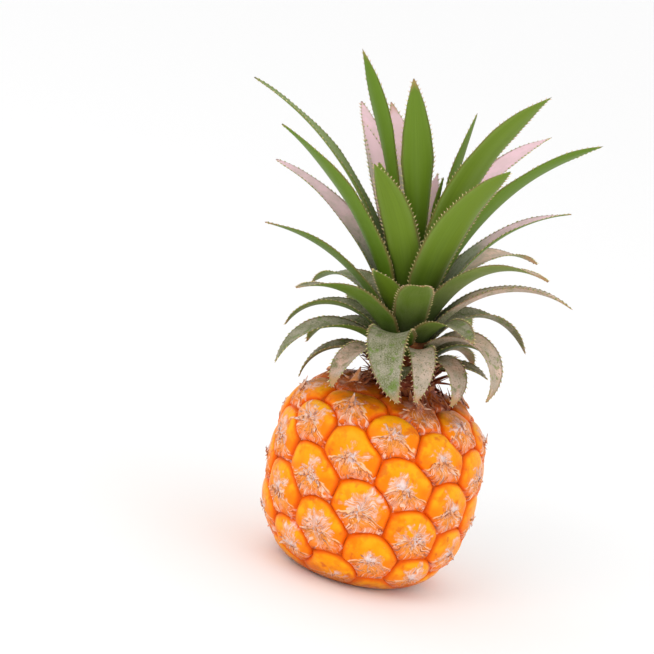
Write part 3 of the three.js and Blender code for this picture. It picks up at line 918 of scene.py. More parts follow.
blade_tree, wire, given = new_tree("blades_on_points", [
    ("Points", GEOMETRY), ("Blade", "NodeSocketObject"), ("Smallest", VALUE), ("Largest", VALUE),
    ("Loose Turn", VALUE), ("Seed", "NodeSocketInt"), ("Finish", "NodeSocketMaterial"),
], "Blades")
shape = wire.node("GeometryNodeObjectInfo", {"Object": given["Blade"]}).outputs["Geometry"]
outward = named_value(wire, "facing", "FLOAT_VECTOR")
upward = named_value(wire, "upward", "FLOAT_VECTOR")
facing = wire.node("FunctionNodeAlignRotationToVector", {"Vector": outward}, axis="Z")
upright = wire.node(
    "FunctionNodeAlignRotationToVector", {"Rotation": facing.outputs[0], "Vector": upward},
    axis="Y", pivot_axis="Z",
)
loose_high = given["Loose Turn"]
loose_low = wire.times(loose_high, -1.0)
loose = wire.node("FunctionNodeRandomValue", {
    0: wire.triple(loose_low, loose_low, loose_low), 1: wire.triple(loose_high, loose_high, loose_high),
    "Seed": given["Seed"],
}, data_type="FLOAT_VECTOR")
turned = wire.node(
    "FunctionNodeRotateRotation", {0: upright.outputs[0], 1: loose.outputs[0]}, rotation_space="LOCAL",
)
size_range = {2: given["Smallest"], 3: given["Largest"], "Seed": given["Seed"]}
size = wire.node("FunctionNodeRandomValue", size_range).outputs[1]
placed = wire.node("GeometryNodeInstanceOnPoints", {
    "Points": given["Points"], "Instance": shape, "Rotation": turned.outputs[0],
    "Scale": wire.times(size, named_value(wire, "grown", "FLOAT")),
})
wire.node("NodeGroupOutput", {0: painted_copies(wire, placed, given["Finish"])})
print("tree", blade_tree.name, "with", len(blade_tree.nodes), "nodes")

# %% [markdown]
# ### From a tree to a plain mesh
# A tree sits on an object as a modifier, and its sizes are set by the identifier of each socket before
# the object is first read. The export keeps plain meshes only, so the result of the tree takes the
# place of the object's own mesh and the modifier goes.

# %% Blades as one plain mesh


def set_inputs(modifier, values):
    """Sets a modifier's inputs by the identifiers of their sockets."""
    for item in modifier.node_group.interface.items_tree:
        if item.item_type == "SOCKET" and item.in_out == "INPUT" and item.name in values:
            modifier[item.identifier] = values[item.name]


def settle(piece):
    """Turns a piece with its node tree into a plain mesh."""
    graph = bpy.context.evaluated_depsgraph_get()
    grown_piece = piece.evaluated_get(graph)
    made = bpy.data.meshes.new_from_object(grown_piece, preserve_all_data_layers=True, depsgraph=graph)
    piece.modifiers.clear()
    piece.data = made
    made.name = piece.name
    return piece


def blades_on_points(name, places, facing, upward, grown, blade, sizes, loose_turn, seed, finish):
    """Sets one small blade on every place, in mm, and returns them as one piece."""
    piece = new_piece(name, places, [])
    for label, values in (("facing", facing), ("upward", upward)):
        layer = piece.data.attributes.new(label, "FLOAT_VECTOR", "POINT")
        layer.data.foreach_set("vector", np.asarray(values, np.float32).ravel())
    layer = piece.data.attributes.new("grown", "FLOAT", "POINT")
    layer.data.foreach_set("value", np.asarray(grown, np.float32))
    modifier = piece.modifiers.new("blades", "NODES")
    modifier.node_group = blade_tree
    set_inputs(modifier, {"Blade": blade, "Smallest": sizes[0], "Largest": sizes[1],
                          "Loose Turn": loose_turn, "Seed": seed, "Finish": finish})
    return settle(piece)


print("helpers ready for", blade_tree.name)

# %% [markdown]
# ### Pattern of a small blade
# Bracts and flakes are one shape in three sizes: a pointed blade that narrows from its root, cups a
# little and lifts off the skin towards its tip. It has few faces, because it is copied hundreds of
# times.

# %% Pattern blade
SMALL_BLADE_THICKNESS = 0.24
SMALL_BLADE_TIP = 0.08


def small_blade(name, length, half_width, start, lift, cup, rows, columns):
    """A pointed blade along +Y that rises off the skin towards its tip, in mm."""
    along, across = np.meshgrid(np.linspace(0, 1, rows), np.linspace(-1, 1, columns), indexing="ij")
    half = half_width * (1 - along) ** 0.8 * (0.75 + 0.9 * along * (1 - along)) + SMALL_BLADE_TIP
    rise = lift * along ** 2 - cup * half * across ** 2 * (1 - along)
    middle = np.stack([across * half, start + length * along, rise], -1)
    above = np.zeros(middle.shape)
    above[..., 2] = 1.0
    thickness = np.full(along.shape, SMALL_BLADE_THICKNESS)
    points, faces, upper_number, under_number = closed_sheet(middle, above, thickness)
    piece = new_piece(name, points, [tuple(face) for face in faces])
    sheet_map(piece, "blade_map", across / 2 + 0.5, along, upper_number, under_number)
    return piece


print("pattern blade", SMALL_BLADE_THICKNESS, "mm thick")

# %% [markdown]
# ### Finish of the bracts
# Dry bracts are thin, pale and fibrous: cream to pink at the tip, with brown fibres along them and a
# warmer brown at the root. The same recipe with darker colours serves the collar around the neck.

# %% Bract finishes


def bract_finish(name, root, middle, tip, fibre):
    """A dry, fibrous finish from the colours of a bract's root, middle, tip and fibres."""
    root_colour, middle_colour = tint(root), tint(middle)
    tip_colour, fibre_colour = tint(tip), tint(fibre)
    finish, wire, shader = new_finish(name, 0.75)
    blade_place = wire.map("blade_map")
    place = wire.place()
    drift = wire.noise(place, 220.0, 2.0)
    fibre_place = wire.triple(
        wire.times(blade_place[0], 4.0), wire.times(blade_place[1], 0.6),
        wire.times(drift, 12.0),
    )
    fibres = wire.group(fibre_group, {"Place": fibre_place, "Cover": 0.35})
    colour = wire.mix(wire.smooth(blade_place[1], 0.0, 0.45), root_colour, middle_colour)
    tip_edge = wire.plus(blade_place[1], wire.times(drift, 0.3))
    colour = wire.mix(wire.smooth(tip_edge, 0.6, 1.1), colour, tip_colour)
    colour = wire.mix(wire.times(wire.smooth(fibres["Fine"], 0.5, 0.75), 0.5), colour, fibre_colour)
    colour = wire.mix(wire.times(fibres["Streak"], 0.6), colour, fibre_colour)
    warm = wire.times(wire.smooth(wire.noise(place, 330.0, 1.0), 0.48, 0.56), 0.75)
    colour = wire.mix(warm, colour, root_colour)
    stained = wire.times(wire.smooth(wire.noise(place, 410.0, 1.0), 0.58, 0.64), 0.7)
    colour = wire.mix(stained, colour, fibre_colour)
    wire.put(shader.inputs["Base Color"], colour)
    wire.bump(shader, fibres["Fine"], 0.3 * MM, 0.5)
    return finish


paper_finish = bract_finish("papery_bract", "F29A58", "F5C0A0", "F7DACE", "99584A")
collar_finish = bract_finish("brown_bract", "86340F", "B4683A", "D2A482", "5C2A18")
print("finishes", paper_finish.name, collar_finish.name)

# %% [markdown]
# ### Points on the eyes
# Each eye keeps two torn points of its bract, one large and one small, that lean upwards from the nub.
# The eyes under the flat spot and inside the crown have none, because nothing would show. The places
# come from the same formula as the skin, so every root sits on it.

# %% Places on an eye
EYE_REACH = 10.5
LOWEST_SHOWN_Z = 5
COVERED_Z = 74
COVERED_RADIUS = 13
bract_dice = np.random.default_rng(23)
eye_z = eyes[:, 2] + BODY_CENTRE_Z
crown_side = np.hypot(eyes[:, 0] - CROWN_START[0], eyes[:, 1])
uncovered = (eye_z < COVERED_Z) | (crown_side > COVERED_RADIUS)
shown = np.flatnonzero((eye_z > LOWEST_SHOWN_Z) & uncovered)


def on_eye(eye, u, v):
    """Points of the skin at places u, v in their eyes, in mm, and the way that it faces there."""
    flat = onto_body(eyes[eye] + eye_right[eye] * u[:, None] + eye_up[eye] * v[:, None])
    share = np.clip(np.hypot(u, v) / EYE_REACH, 0, 1)
    rows = zip(u, v, share, eye_seed[eye], eye_long_tip[eye])
    lift = [eye_relief(*[np.array([value]) for value in row])[0] for row in rows]
    facing = body_normal(flat)
    return flat + facing * np.array(lift)[:, None] + BODY_CENTRE_Z * UPWARD, facing


print(len(shown), "eyes carry bracts")

# %% Bract points
TIPS_PER_EYE = 2
SECOND_TIP_SIZE = 0.65
SHOULDER_TIP_GROWTH = 1.3
tip_eye = np.repeat(shown, TIPS_PER_EYE)
tip_u = bract_dice.normal(0, 0.8, len(tip_eye))
tip_v = bract_dice.normal(-0.2, 0.5, len(tip_eye))
tip_places, tip_facing = on_eye(tip_eye, tip_u, tip_v)
tip_swing = bract_dice.normal(0, 0.5, len(tip_eye))[:, None]
tip_up = eye_up[tip_eye] * np.cos(tip_swing) + eye_right[tip_eye] * np.sin(tip_swing)
tip_is_first = np.arange(len(tip_eye)) % TIPS_PER_EYE == 0
tip_growth = 1 + SHOULDER_TIP_GROWTH * eye_long_tip[tip_eye]
tip_grown = np.where(tip_is_first, 1.0, SECOND_TIP_SIZE) * tip_growth
bract_blade = small_blade("bract_blade", 3.6, 1.0, -1.6, 1.0, 0.35, 7, 5)
bract_tips = blades_on_points(
    "bract_tips", tip_places, tip_facing, tip_up, tip_grown,
    bract_blade, (0.75, 1.2), 0.3, 5, paper_finish,
)
print("bract tips", len(tip_eye))

# %% [markdown]
# ### Flakes of the old flower
# Small papery flakes point outwards from each nub, mostly downwards over the fan, and two more lie
# along the lip where the bract leaves the pillow. They lie nearly flat, so they catch the light like
# torn paper and leave the outline of the fruit as it is.

# %% Places of the flakes
FLAKES_PER_EYE = 9
LIPS_PER_EYE = 2
LIP_GROWTH = 1.5
flake_eye = np.repeat(shown, FLAKES_PER_EYE)
flake_bearing = bract_dice.normal(0, 1.3, len(flake_eye))
flake_reach = bract_dice.uniform(0.8, 3.6, len(flake_eye))
flake_u = np.sin(flake_bearing) * flake_reach
flake_v = -np.cos(flake_bearing) * flake_reach
lip_eye = np.repeat(shown, LIPS_PER_EYE)
lip_side = np.tile([-1.0, 1.0], len(shown))
lip_reach = bract_dice.uniform(2.5, 6.0, len(lip_eye))
lip_slope = math.atan(FAN_SLOPE) + bract_dice.normal(0, 0.12, len(lip_eye))
scrap_eye = np.concatenate([flake_eye, lip_eye])
scrap_u = np.concatenate([flake_u, lip_side * lip_reach * np.cos(lip_slope)])
scrap_v = np.concatenate([flake_v, 0.3 - lip_reach * np.sin(lip_slope)])
print("flakes", len(flake_eye), "and lips", len(lip_eye))

# %% Flakes around the nub
scrap_places, scrap_facing = on_eye(scrap_eye, scrap_u, scrap_v)
flake_turn = flake_bearing + bract_dice.normal(0, 0.35, len(flake_eye))
scrap_turn = np.concatenate([flake_turn, lip_side * (np.pi / 2 - lip_slope)])[:, None]
scrap_way = eye_right[scrap_eye] * np.sin(scrap_turn) - eye_up[scrap_eye] * np.cos(scrap_turn)
scrap_grown = np.concatenate([np.ones(len(flake_eye)), np.full(len(lip_eye), LIP_GROWTH)])
flake_blade = small_blade("flake_blade", 2.8, 0.75, -0.8, 0.5, 0.4, 5, 5)
flower_flakes = blades_on_points(
    "flower_flakes", scrap_places, scrap_facing, scrap_way, scrap_grown,
    flake_blade, (0.55, 1.2), 0.16, 9, paper_finish,
)
print(flower_flakes.name, len(flower_flakes.data.polygons), "faces")

# %% [markdown]
# ### Collar of the neck
# Where the crown meets the fruit, dry brown bracts crowd around the neck and over the shoulder. Rings
# of them would look planted, so they follow the golden angle as the eyes do: one spiral winds down the
# neck, and a second one covers the shoulder below it.

# %% Neck collar
COLLAR_COUNT = 64
COLLAR_TOP = 6.5
COLLAR_DROP = 9.0
BRACT_ROOT_SUNK = 0.4
collar_turn = np.radians(GOLDEN_ANGLE * np.arange(COLLAR_COUNT))
collar_height = (COLLAR_TOP - COLLAR_DROP * np.arange(COLLAR_COUNT) / COLLAR_COUNT)[:, None]
collar_out = np.stack([np.cos(collar_turn), np.sin(collar_turn), np.zeros(COLLAR_COUNT)], -1)
collar_places = from_crown(collar_out * (STEM_RADIUS - BRACT_ROOT_SUNK) + UPWARD * collar_height)
collar_lean = np.radians(bract_dice.uniform(40, 95, COLLAR_COUNT))[:, None]
collar_along = (collar_out * np.sin(collar_lean) + UPWARD * np.cos(collar_lean)) @ crown_axes
collar_facing = (UPWARD * np.sin(collar_lean) - collar_out * np.cos(collar_lean)) @ crown_axes
print("collar bracts", COLLAR_COUNT)

# %% Shoulder bracts below the collar
SHOULDER_COUNT = 70
SHOULDER_FIRST_ANGLE = 20
SHOULDER_RAY_HEIGHT = 37.0
SHOULDER_ROOT_SUNK = 1.2
SHOULDER_BRACT_SIZE = 0.68
shoulder_turn = np.radians(GOLDEN_ANGLE * np.arange(SHOULDER_COUNT) + SHOULDER_FIRST_ANGLE)
shoulder_reach = bract_dice.uniform(13.0, 25.0, SHOULDER_COUNT)
shoulder_places = onto_body(np.stack([
    CROWN_START[0] + shoulder_reach * np.cos(shoulder_turn),
    shoulder_reach * np.sin(shoulder_turn),
    np.full(SHOULDER_COUNT, SHOULDER_RAY_HEIGHT),
], -1))
shoulder_out = body_normal(shoulder_places)
shoulder_up = unit(UPWARD - shoulder_out * shoulder_out[:, 2:3])
shoulder_stand = np.radians(bract_dice.uniform(15, 50, SHOULDER_COUNT))[:, None]
shoulder_along = shoulder_up * np.cos(shoulder_stand) + shoulder_out * np.sin(shoulder_stand)
shoulder_facing = shoulder_out * np.cos(shoulder_stand) - shoulder_up * np.sin(shoulder_stand)
shoulder_places = shoulder_places - shoulder_out * SHOULDER_ROOT_SUNK + BODY_CENTRE_Z * UPWARD
print("shoulder bracts", SHOULDER_COUNT)

# %% Collar as one piece
collar_blade = small_blade("collar_blade", 12.0, 2.2, -1.0, -0.8, 0.35, 8, 7)
neck_collar = blades_on_points(
    "neck_collar", np.concatenate([collar_places, shoulder_places]),
    np.concatenate([collar_facing, shoulder_facing]), np.concatenate([collar_along, shoulder_along]),
    np.concatenate([np.ones(COLLAR_COUNT), np.full(SHOULDER_COUNT, SHOULDER_BRACT_SIZE)]),
    collar_blade, (0.7, 1.1), 0.15, 3, collar_finish,
)
for pattern in (bract_blade, flake_blade, collar_blade):
    bpy.data.objects.remove(pattern)
print(neck_collar.name, len(neck_collar.data.polygons), "faces")

# %% [markdown]
# ## Crown leaves
# The leaves go on with the same golden angle. The innermost stand up from the top of the stem and the
# outermost droop from its foot. They could be one leaf copied and bent, but each real leaf has its own
# reach. So each row below gives a leaf's length, width, lean of its tip, sideways sweep and twist, as
# in the solids, and everything else follows from its number.

# %% Leaf sizes
LEAF_FIRST_ANGLE = -27.0
LEAF_TOP_ROOT = 37.0
LEAF_ROOT_DROP = 33.0
LEAF_TOP_LEAN = 4.0
LEAF_LEAN_RANGE = 58.0
LEAF_LEAN_POWER = 1.15
LEAF_BEND_POWER = 1.15
LEAF_STEM_GAP = 1.35
LEAF_THICKNESS = 1.1
LEAF_BASE_CHANNEL = 0.42
LEAF_TIP_CHANNEL = 0.16
LEAF_CLASP_INNER = 22.0
LEAF_CLASP_OUTER = 33.0
LEAF_ROWS = 56
LEAF_COLUMNS = 11
LEAVES = [
    (48, 8, 6, 4, 0), (100, 14, 18, -14, -35), (50, 10, 16, 0, 0), (96, 15, 22, -10, 0),
    (75, 14, 36, 0, 0), (80, 15, 15, 0, 30), (62, 14, 26, 0, 0), (84, 14, 35, 14, 0),
    (114, 15, 55, 7, 20), (113, 12, 62, 0, 0), (97, 15, 75, 0, 0), (74, 15, 42, -11, 0),
    (94, 15, 50, -4, 0), (106, 16, 69, 0, 25), (98, 16, 54, 0, -8), (55, 15, 62, 0, 0),
    (90, 16, 55, 13, 8), (85, 15, 72, 0, 0), (78, 15, 85, -2, 10), (34, 13, 58, 0, 0),
    (85, 16, 85, 0, 0), (74, 16, 105, -6, 15), (69, 16, 80, 0, -15), (74, 16, 120, -9, 0),
    (45, 15, 75, 3, 0), (54, 16, 130, 4, 0), (66, 16, 125, 4, 10), (58, 17, 98, 0, -12),
    (70, 16, 115, 0, 0), (40, 15, 125, 0, 0), (50, 16, 150, 0, -8), (50, 16, 165, -12, 0),
    (56, 17, 190, 14, 0), (58, 16, 140, 0, 0), (48, 16, 205, -10, 0), (54, 15, 160, -2, 0),
    (50, 16, 148, 0, 0), (42, 11, 185, -6, 0), (45, 15, 152, 0, 0), (36, 14, 182, 0, 0),
    (46, 12, 150, 4, 0), (40, 14, 152, 0, 0), (32, 12, 195, -8, 0), (38, 12, 165, 4, 0),
    (30, 12, 155, 0, 0), (24, 11, 130, 0, 0), (26, 11, 128, 0, 0), (23, 10, 130, 0, 0),
]
print(len(LEAVES), "leaves, the longest", max(leaf[0] for leaf in LEAVES), "mm")

# %% [markdown]
# ### Middle line of a leaf
# A leaf starts at a lean that its place on the stem gives it, and bends on to the lean of its tip. The
# line is added up from many small steps, which keeps its length true however far it droops. A Bezier
# curve would be quicker to draw, but its length changes with every bend.

# %% Middle line of a leaf
LINE_STEPS = 800


def running_sum(values, step):
    """The sum of a value along a line, from its start to each of its points."""
    return np.concatenate([[0], np.cumsum((values[1:] + values[:-1]) / 2 * step)])


def leaf_line(index, along):
    """Middle line of a leaf in the crown's frame, with its forward, side and upper directions."""
    length, _, tip_lean, sweep, twist = LEAVES[index]
    order = index / (len(LEAVES) - 1)
    root_lean = LEAF_TOP_LEAN + LEAF_LEAN_RANGE * order ** LEAF_LEAN_POWER
    root_height = LEAF_TOP_ROOT - LEAF_ROOT_DROP * order
    fine = np.linspace(0, 1, LINE_STEPS + 1)
    fine_lean = np.radians(root_lean + (tip_lean - root_lean) * fine ** LEAF_BEND_POWER)
    step = length / LINE_STEPS
    root_reach = stem_radius(root_height) + LEAF_STEM_GAP
    reach = np.interp(along, fine, running_sum(np.sin(fine_lean), step)) + root_reach
    rise = np.interp(along, fine, running_sum(np.cos(fine_lean), step)) + root_height
    lean = np.interp(along, fine, fine_lean)[:, None]
    angle = math.radians(LEAF_FIRST_ANGLE - GOLDEN_ANGLE * index)
    outward = np.array([[math.cos(angle), math.sin(angle), 0.0]])
    sideways = np.array([[-math.sin(angle), math.cos(angle), 0.0]])
    aside = (sweep * along ** 2)[:, None]
    aside_slope = (2 * sweep * along / length)[:, None]
    middle = outward * reach[:, None] + sideways * aside + UPWARD * rise[:, None]
    forward = unit(outward * np.sin(lean) + UPWARD * np.cos(lean) + sideways * aside_slope)
    above = UPWARD * np.sin(lean) - outward * np.cos(lean)
    side = unit(np.cross(forward, above))
    turn = np.radians(twist * along)[:, None]
    above = np.cross(side, forward)
    side = side * np.cos(turn) + above * np.sin(turn)
    return middle, forward, side, np.cross(side, forward), reach, order


longest = max(range(len(LEAVES)), key=lambda index: LEAVES[index][0])
print("tip of the longest leaf", from_crown(leaf_line(longest, np.ones(1))[0]).round(1))

# %% [markdown]
# ### Marks on a leaf
# Finish and spines need to know more about a leaf than its shape. Its upper face, age, seed and wear
# go on the mesh as a colour that no one sees, and its margin edges and the way that spines point there
# go on it as named values. Kept on the mesh, they need no second list beside it.

# %% Marks of a leaf
WORN_LEAVES = (9,)
SILVERED_LEAVES = (26, 31, 34)
BLUSHED_LEAVES = (2, 4, 7, 10, 12, 15, 17, 18, 20, 21, 23, 26, 28, 34, 37, 39, 40, 42, 44, 46)
WORN_COVER = 0.35
FREE_ROWS = 2


def mark_faces(piece, index, order, seed):
    """Keeps the upper face, the age, the seed and the cover of bloom of a leaf on its mesh."""
    face_count = len(piece.data.polygons)
    is_upper = np.arange(face_count) < face_count // 2
    marks = np.ones((face_count * 4, 4), np.float32)
    marks[:, 0] = np.repeat(is_upper | (index in SILVERED_LEAVES), 4)
    marks[:, 1] = order
    marks[:, 2] = 0.4 * seed + (0.6 if index in BLUSHED_LEAVES else 0.0)
    marks[:, 3] = WORN_COVER if index in WORN_LEAVES else 1.0
    layer = piece.data.color_attributes.new("leaf_mark", "FLOAT_COLOR", "CORNER")
    layer.data.foreach_set("color", marks.ravel())


def mark_margins(piece, upper_number, forward, side, above):
    """Keeps the margin edges of a leaf on its mesh, and the way that spines point there."""
    spine_way = np.zeros((len(piece.data.vertices), 3), np.float32)
    for column, sign in ((0, -1), (LEAF_COLUMNS - 1, 1)):
        way = unit(side * sign * 0.75 + forward * 0.7 + above * 0.1)
        spine_way[upper_number[:, column]] = way @ crown_axes
    layer = piece.data.attributes.new("spine_way", "FLOAT_VECTOR", "POINT")
    layer.data.foreach_set("vector", spine_way.ravel())
    ends = np.zeros(len(piece.data.edges) * 2, np.int32)
    piece.data.edges.foreach_get("vertices", ends)
    ends = ends.reshape(-1, 2)
    row, column = ends // LEAF_COLUMNS, ends % LEAF_COLUMNS
    on_sheet = (ends < LEAF_ROWS * LEAF_COLUMNS).all(1)
    at_margin = (column[:, 0] == column[:, 1]) & np.isin(column[:, 0], (0, LEAF_COLUMNS - 1))
    inside = (row.min(1) >= FREE_ROWS) & (row.max(1) <= LEAF_ROWS - FREE_ROWS)
    layer = piece.data.attributes.new("margin", "BOOLEAN", "EDGE")
    layer.data.foreach_set("value", on_sheet & at_margin & inside)


print(len(BLUSHED_LEAVES), "blushed leaves and", len(SILVERED_LEAVES), "silvered ones")

# %% [markdown]
# ### Blade of a leaf
# A leaf is a channel that clasps the stem and narrows to a sharp tip. Its width, channel and thickness
# are set row by row along the middle line, and a slow ripple keeps its sides from being straight. The
# two sheets of a closed blade give it an upper and an outer face.

# %% Leaf blades
WIDTH_PLACES = (0, 0.2, 0.4, 0.6, 0.75, 0.88, 0.96, 1)
WIDTH_SHARES = (0.94, 0.95, 1, 0.93, 0.76, 0.47, 0.2, 0.03)
RIPPLE_HEIGHT = 0.3
RIPPLE_TURN = 0.16
LEAF_FIRST_SEED = 300


def leaf_blade(index):
    """One leaf as a plain mesh with its map and its marks."""
    dice = np.random.default_rng(LEAF_FIRST_SEED + index)
    length, width = LEAVES[index][:2]
    along = np.linspace(0, 1, LEAF_ROWS)
    middle, forward, side, above, reach, order = leaf_line(index, along)
    half = width / 2 * np.interp(along, WIDTH_PLACES, WIDTH_SHARES)
    clasp = math.radians(LEAF_CLASP_INNER + (LEAF_CLASP_OUTER - LEAF_CLASP_INNER) * math.sqrt(order))
    half = np.minimum(half, reach * math.sin(clasp))
    channel = (LEAF_BASE_CHANNEL + (LEAF_TIP_CHANNEL - LEAF_BASE_CHANNEL) * along) * half
    across = np.linspace(-1, 1, LEAF_COLUMNS)
    ripple_turn = along[:, None] * length * RIPPLE_TURN + dice.uniform(0, 6) + across[None] * 1.5
    ripple = RIPPLE_HEIGHT * np.sin(ripple_turn) * ease(0.1, 0.4, along)[:, None]
    rise = (channel[:, None] + ripple) * across[None] ** 2
    sheet = middle[:, None] + side[:, None] * (half[:, None] * across[None])[..., None]
    sheet = sheet + above[:, None] * rise[..., None]
    thick = LEAF_THICKNESS * (1 - 0.75 * across[None] ** 2) * (1 - 0.55 * along[:, None])
    lift = np.repeat(above[:, None], LEAF_COLUMNS, 1)
    points, faces, upper_number, under_number = closed_sheet(sheet, lift, thick)
    faces = [tuple(face) for face in faces]
    piece = new_piece(f"crown_leaf_{index + 1:02d}", from_crown(points), faces)
    across_grid = np.repeat(across[None] / 2 + 0.5, LEAF_ROWS, 0)
    along_grid = np.repeat(along[:, None], LEAF_COLUMNS, 1)
    sheet_map(piece, "blade_map", across_grid, along_grid, upper_number, under_number)
    mark_faces(piece, index, order, dice.random())
    mark_margins(piece, upper_number, forward, side, above)
    return piece


print("a blade has", LEAF_ROWS, "rows and", LEAF_COLUMNS, "columns")

# %% [markdown]
# ## Spines along the leaves
# Both margins of every leaf carry a row of small pale spines that lean towards the tip. They follow a
# path, so a Geometry Nodes tree turns the marked margin edges into curves, steps along them at an even
# spacing and sets a slim cone at each step, a little larger or smaller by a fixed seed.

# %% Tree for margin spines
SPINE_SIDES = 5
SPINE_SUNK_SHARE = 0.25
SPINE_SIZES = (0.7, 1.25)
spine_tree, wire, given = new_tree("margin_spines", [
    ("Leaf", GEOMETRY), ("Spacing", VALUE), ("Length", VALUE), ("Width", VALUE),
    ("Seed", "NodeSocketInt"), ("Finish", "NodeSocketMaterial"),
], "Leaf")
margin = named_value(wire, "margin", "BOOLEAN")
path = wire.node("GeometryNodeMeshToCurve", {"Mesh": given["Leaf"], "Selection": margin})
stepped = wire.node(
    "GeometryNodeResampleCurve", {"Curve": path.outputs[0], "Length": given["Spacing"]}, mode="LENGTH",
)
cone = wire.node("GeometryNodeMeshCone", {
    "Vertices": SPINE_SIDES, "Radius Top": 0.0, "Radius Bottom": given["Width"],
    "Depth": given["Length"],
})
cone_height = wire.split(wire.node("GeometryNodeInputPosition").outputs[0])[2]
marked = wire.node("GeometryNodeStoreNamedAttribute", {
    "Geometry": cone.outputs[0], "Name": "spine_share",
    "Value": wire.math("DIVIDE", cone_height, given["Length"]),
}, data_type="FLOAT", domain="POINT")
sunk = wire.node("GeometryNodeTransform", {
    "Geometry": marked.outputs[0],
    "Translation": wire.triple(0.0, 0.0, wire.times(given["Length"], -SPINE_SUNK_SHARE)),
})
spine_way = named_value(wire, "spine_way", "FLOAT_VECTOR")
way = wire.node("FunctionNodeAlignRotationToVector", {"Vector": spine_way}, axis="Z")
size_range = {2: SPINE_SIZES[0], 3: SPINE_SIZES[1], "Seed": given["Seed"]}
spines = wire.node("GeometryNodeInstanceOnPoints", {
    "Points": stepped.outputs[0], "Instance": sunk.outputs[0], "Rotation": way.outputs[0],
    "Scale": wire.node("FunctionNodeRandomValue", size_range).outputs[1],
})
joined = wire.node("GeometryNodeJoinGeometry")
wire.put(joined.inputs[0], painted_copies(wire, spines, given["Finish"]))
wire.put(joined.inputs[0], given["Leaf"])
wire.node("NodeGroupOutput", {0: joined.outputs[0]})
print("tree", spine_tree.name, "with", len(spine_tree.nodes), "nodes")

# %% [markdown]
# ## Finish of the leaves
# The outer face of a leaf is smooth and green, darkened by painted shade at its foot and paler along
# its sides. Fine ribs run along it, drawn by the shared fibres. A photograph of a leaf could be laid
# over it, but it would be stretched on every blade. Colours that read the place on the blade fit all
# of them.

# %% Green of a leaf


def leaf_green(wire, green, deep_green, along, from_middle, seed, drift, fine):
    """Colour of the outer face, darkened at its foot by painted shade. Some leaves are more vivid than
    others, by their seed.
    """
    # Painted shade: the foot of the leaf, where the leaves crowd together, is darkened to the deep
    # green.
    foot = wire.smooth(wire.plus(along, wire.times(drift, 0.2)), 0.12, 0.66)
    colour = wire.mix(foot, deep_green, green)
    ribs = wire.times(wire.smooth(fine, 0.3, 0.75), 0.15)
    colour = wire.mix(ribs, colour, deep_green)
    pale_side = wire.times(wire.smooth(from_middle, 0.5, 1.0), 0.4)
    colour = wire.mix(pale_side, colour, tint("7E9140"))
    vivid = wire.math("FRACT", wire.times(seed, 9.7))
    vivid = wire.times(wire.smooth(vivid, 0.3, 0.9), 0.6)
    return wire.mix(vivid, colour, tint("587C06"))


print("green of the leaves ready")

# %% [markdown]
# ### Bloom of a leaf
# The inner face carries a silvery bloom of tiny scales. It is pink on some leaves and grey-green on
# others, and on old leaves it is scurfy and worn through in dark spots. Each of these is a noise at its
# own size, held back by the age of the leaf, so young and old leaves come from one recipe.

# %% Bloom of a leaf


def leaf_blush(wire, place, along, age, seed, drift):
    """How pink the bloom is: more towards the tip, mottled on old leaves and absent on some."""
    edge = wire.plus(along, wire.times(wire.minus(drift, 0.5), 1.2))
    start = wire.minus(0.3, wire.times(age, 0.45))
    share = wire.smooth(wire.minus(edge, start), 0.0, 0.5)
    mottle = wire.smooth(wire.noise(place, 210.0, 4.0), 0.36, 0.6)
    share = wire.times(share, wire.rest(wire.times(mottle, wire.times(age, 0.65))))
    return wire.times(share, wire.smooth(seed, 0.5, 0.6))


def leaf_bloom(wire, colour, place, age, old, deep_green):
    """Silver, scurf and dark spots laid over the colour of the bloom."""
    silver = wire.smooth(wire.noise(place, 130.0, 3.0), 0.44, 0.6)
    silver = wire.times(silver, wire.smooth(age, 0.35, 0.55))
    colour = wire.mix(wire.times(silver, 0.55), colour, tint("A89E8C"))
    scurf = wire.smooth(wire.noise(place, 2400.0, 2.0), 0.4, 0.65)
    scurf = wire.times(scurf, wire.smooth(age, 0.2, 0.5))
    colour = wire.mix(wire.times(scurf, 0.4), colour, tint("C9BEB0"))
    spots = wire.smooth(wire.noise(place, 1500.0, 2.0), 0.58, 0.7)
    return wire.mix(wire.times(spots, wire.times(old, 0.7)), colour, deep_green)


print("bloom of the leaves ready")

# %% [markdown]
# ### Dry tips and margins
# A leaf dries from its tip and along its margins, where it turns tan. The border of the dry part is a
# place along the blade that noise bends, so that it doesn't cut straight across.

# %% Dry parts of a leaf


def leaf_dry(wire, colour, along, from_middle, age, seed, drift, dry):
    """Tan laid over the tip and the margins of a leaf."""
    drift = wire.minus(drift, 0.5)
    edge = wire.plus(along, wire.times(drift, 0.15))
    edge = wire.plus(edge, wire.times(wire.plus(seed, 0.4), dry))
    edge = wire.plus(edge, wire.times(from_middle, 0.03))
    colour = wire.mix(wire.smooth(edge, 1.0, 1.1), colour, tint("B48A5E"))
    margin = wire.smooth(wire.plus(from_middle, wire.times(drift, 0.3)), 0.86, 1.0)
    margin = wire.times(margin, wire.plus(0.3, wire.times(age, 0.5)))
    return wire.mix(margin, colour, tint("A07450"))


print("dry parts of the leaves ready")

# %% [markdown]
# ### The three leaf finishes
# The face, age and seed of each leaf are kept on its mesh, so one recipe with three sets of colours
# gives the inner, outer and neck leaves. More finishes would give each leaf its own, but three are
# easier to change, and the seeds already tell the leaves apart.

# %% Leaf finishes


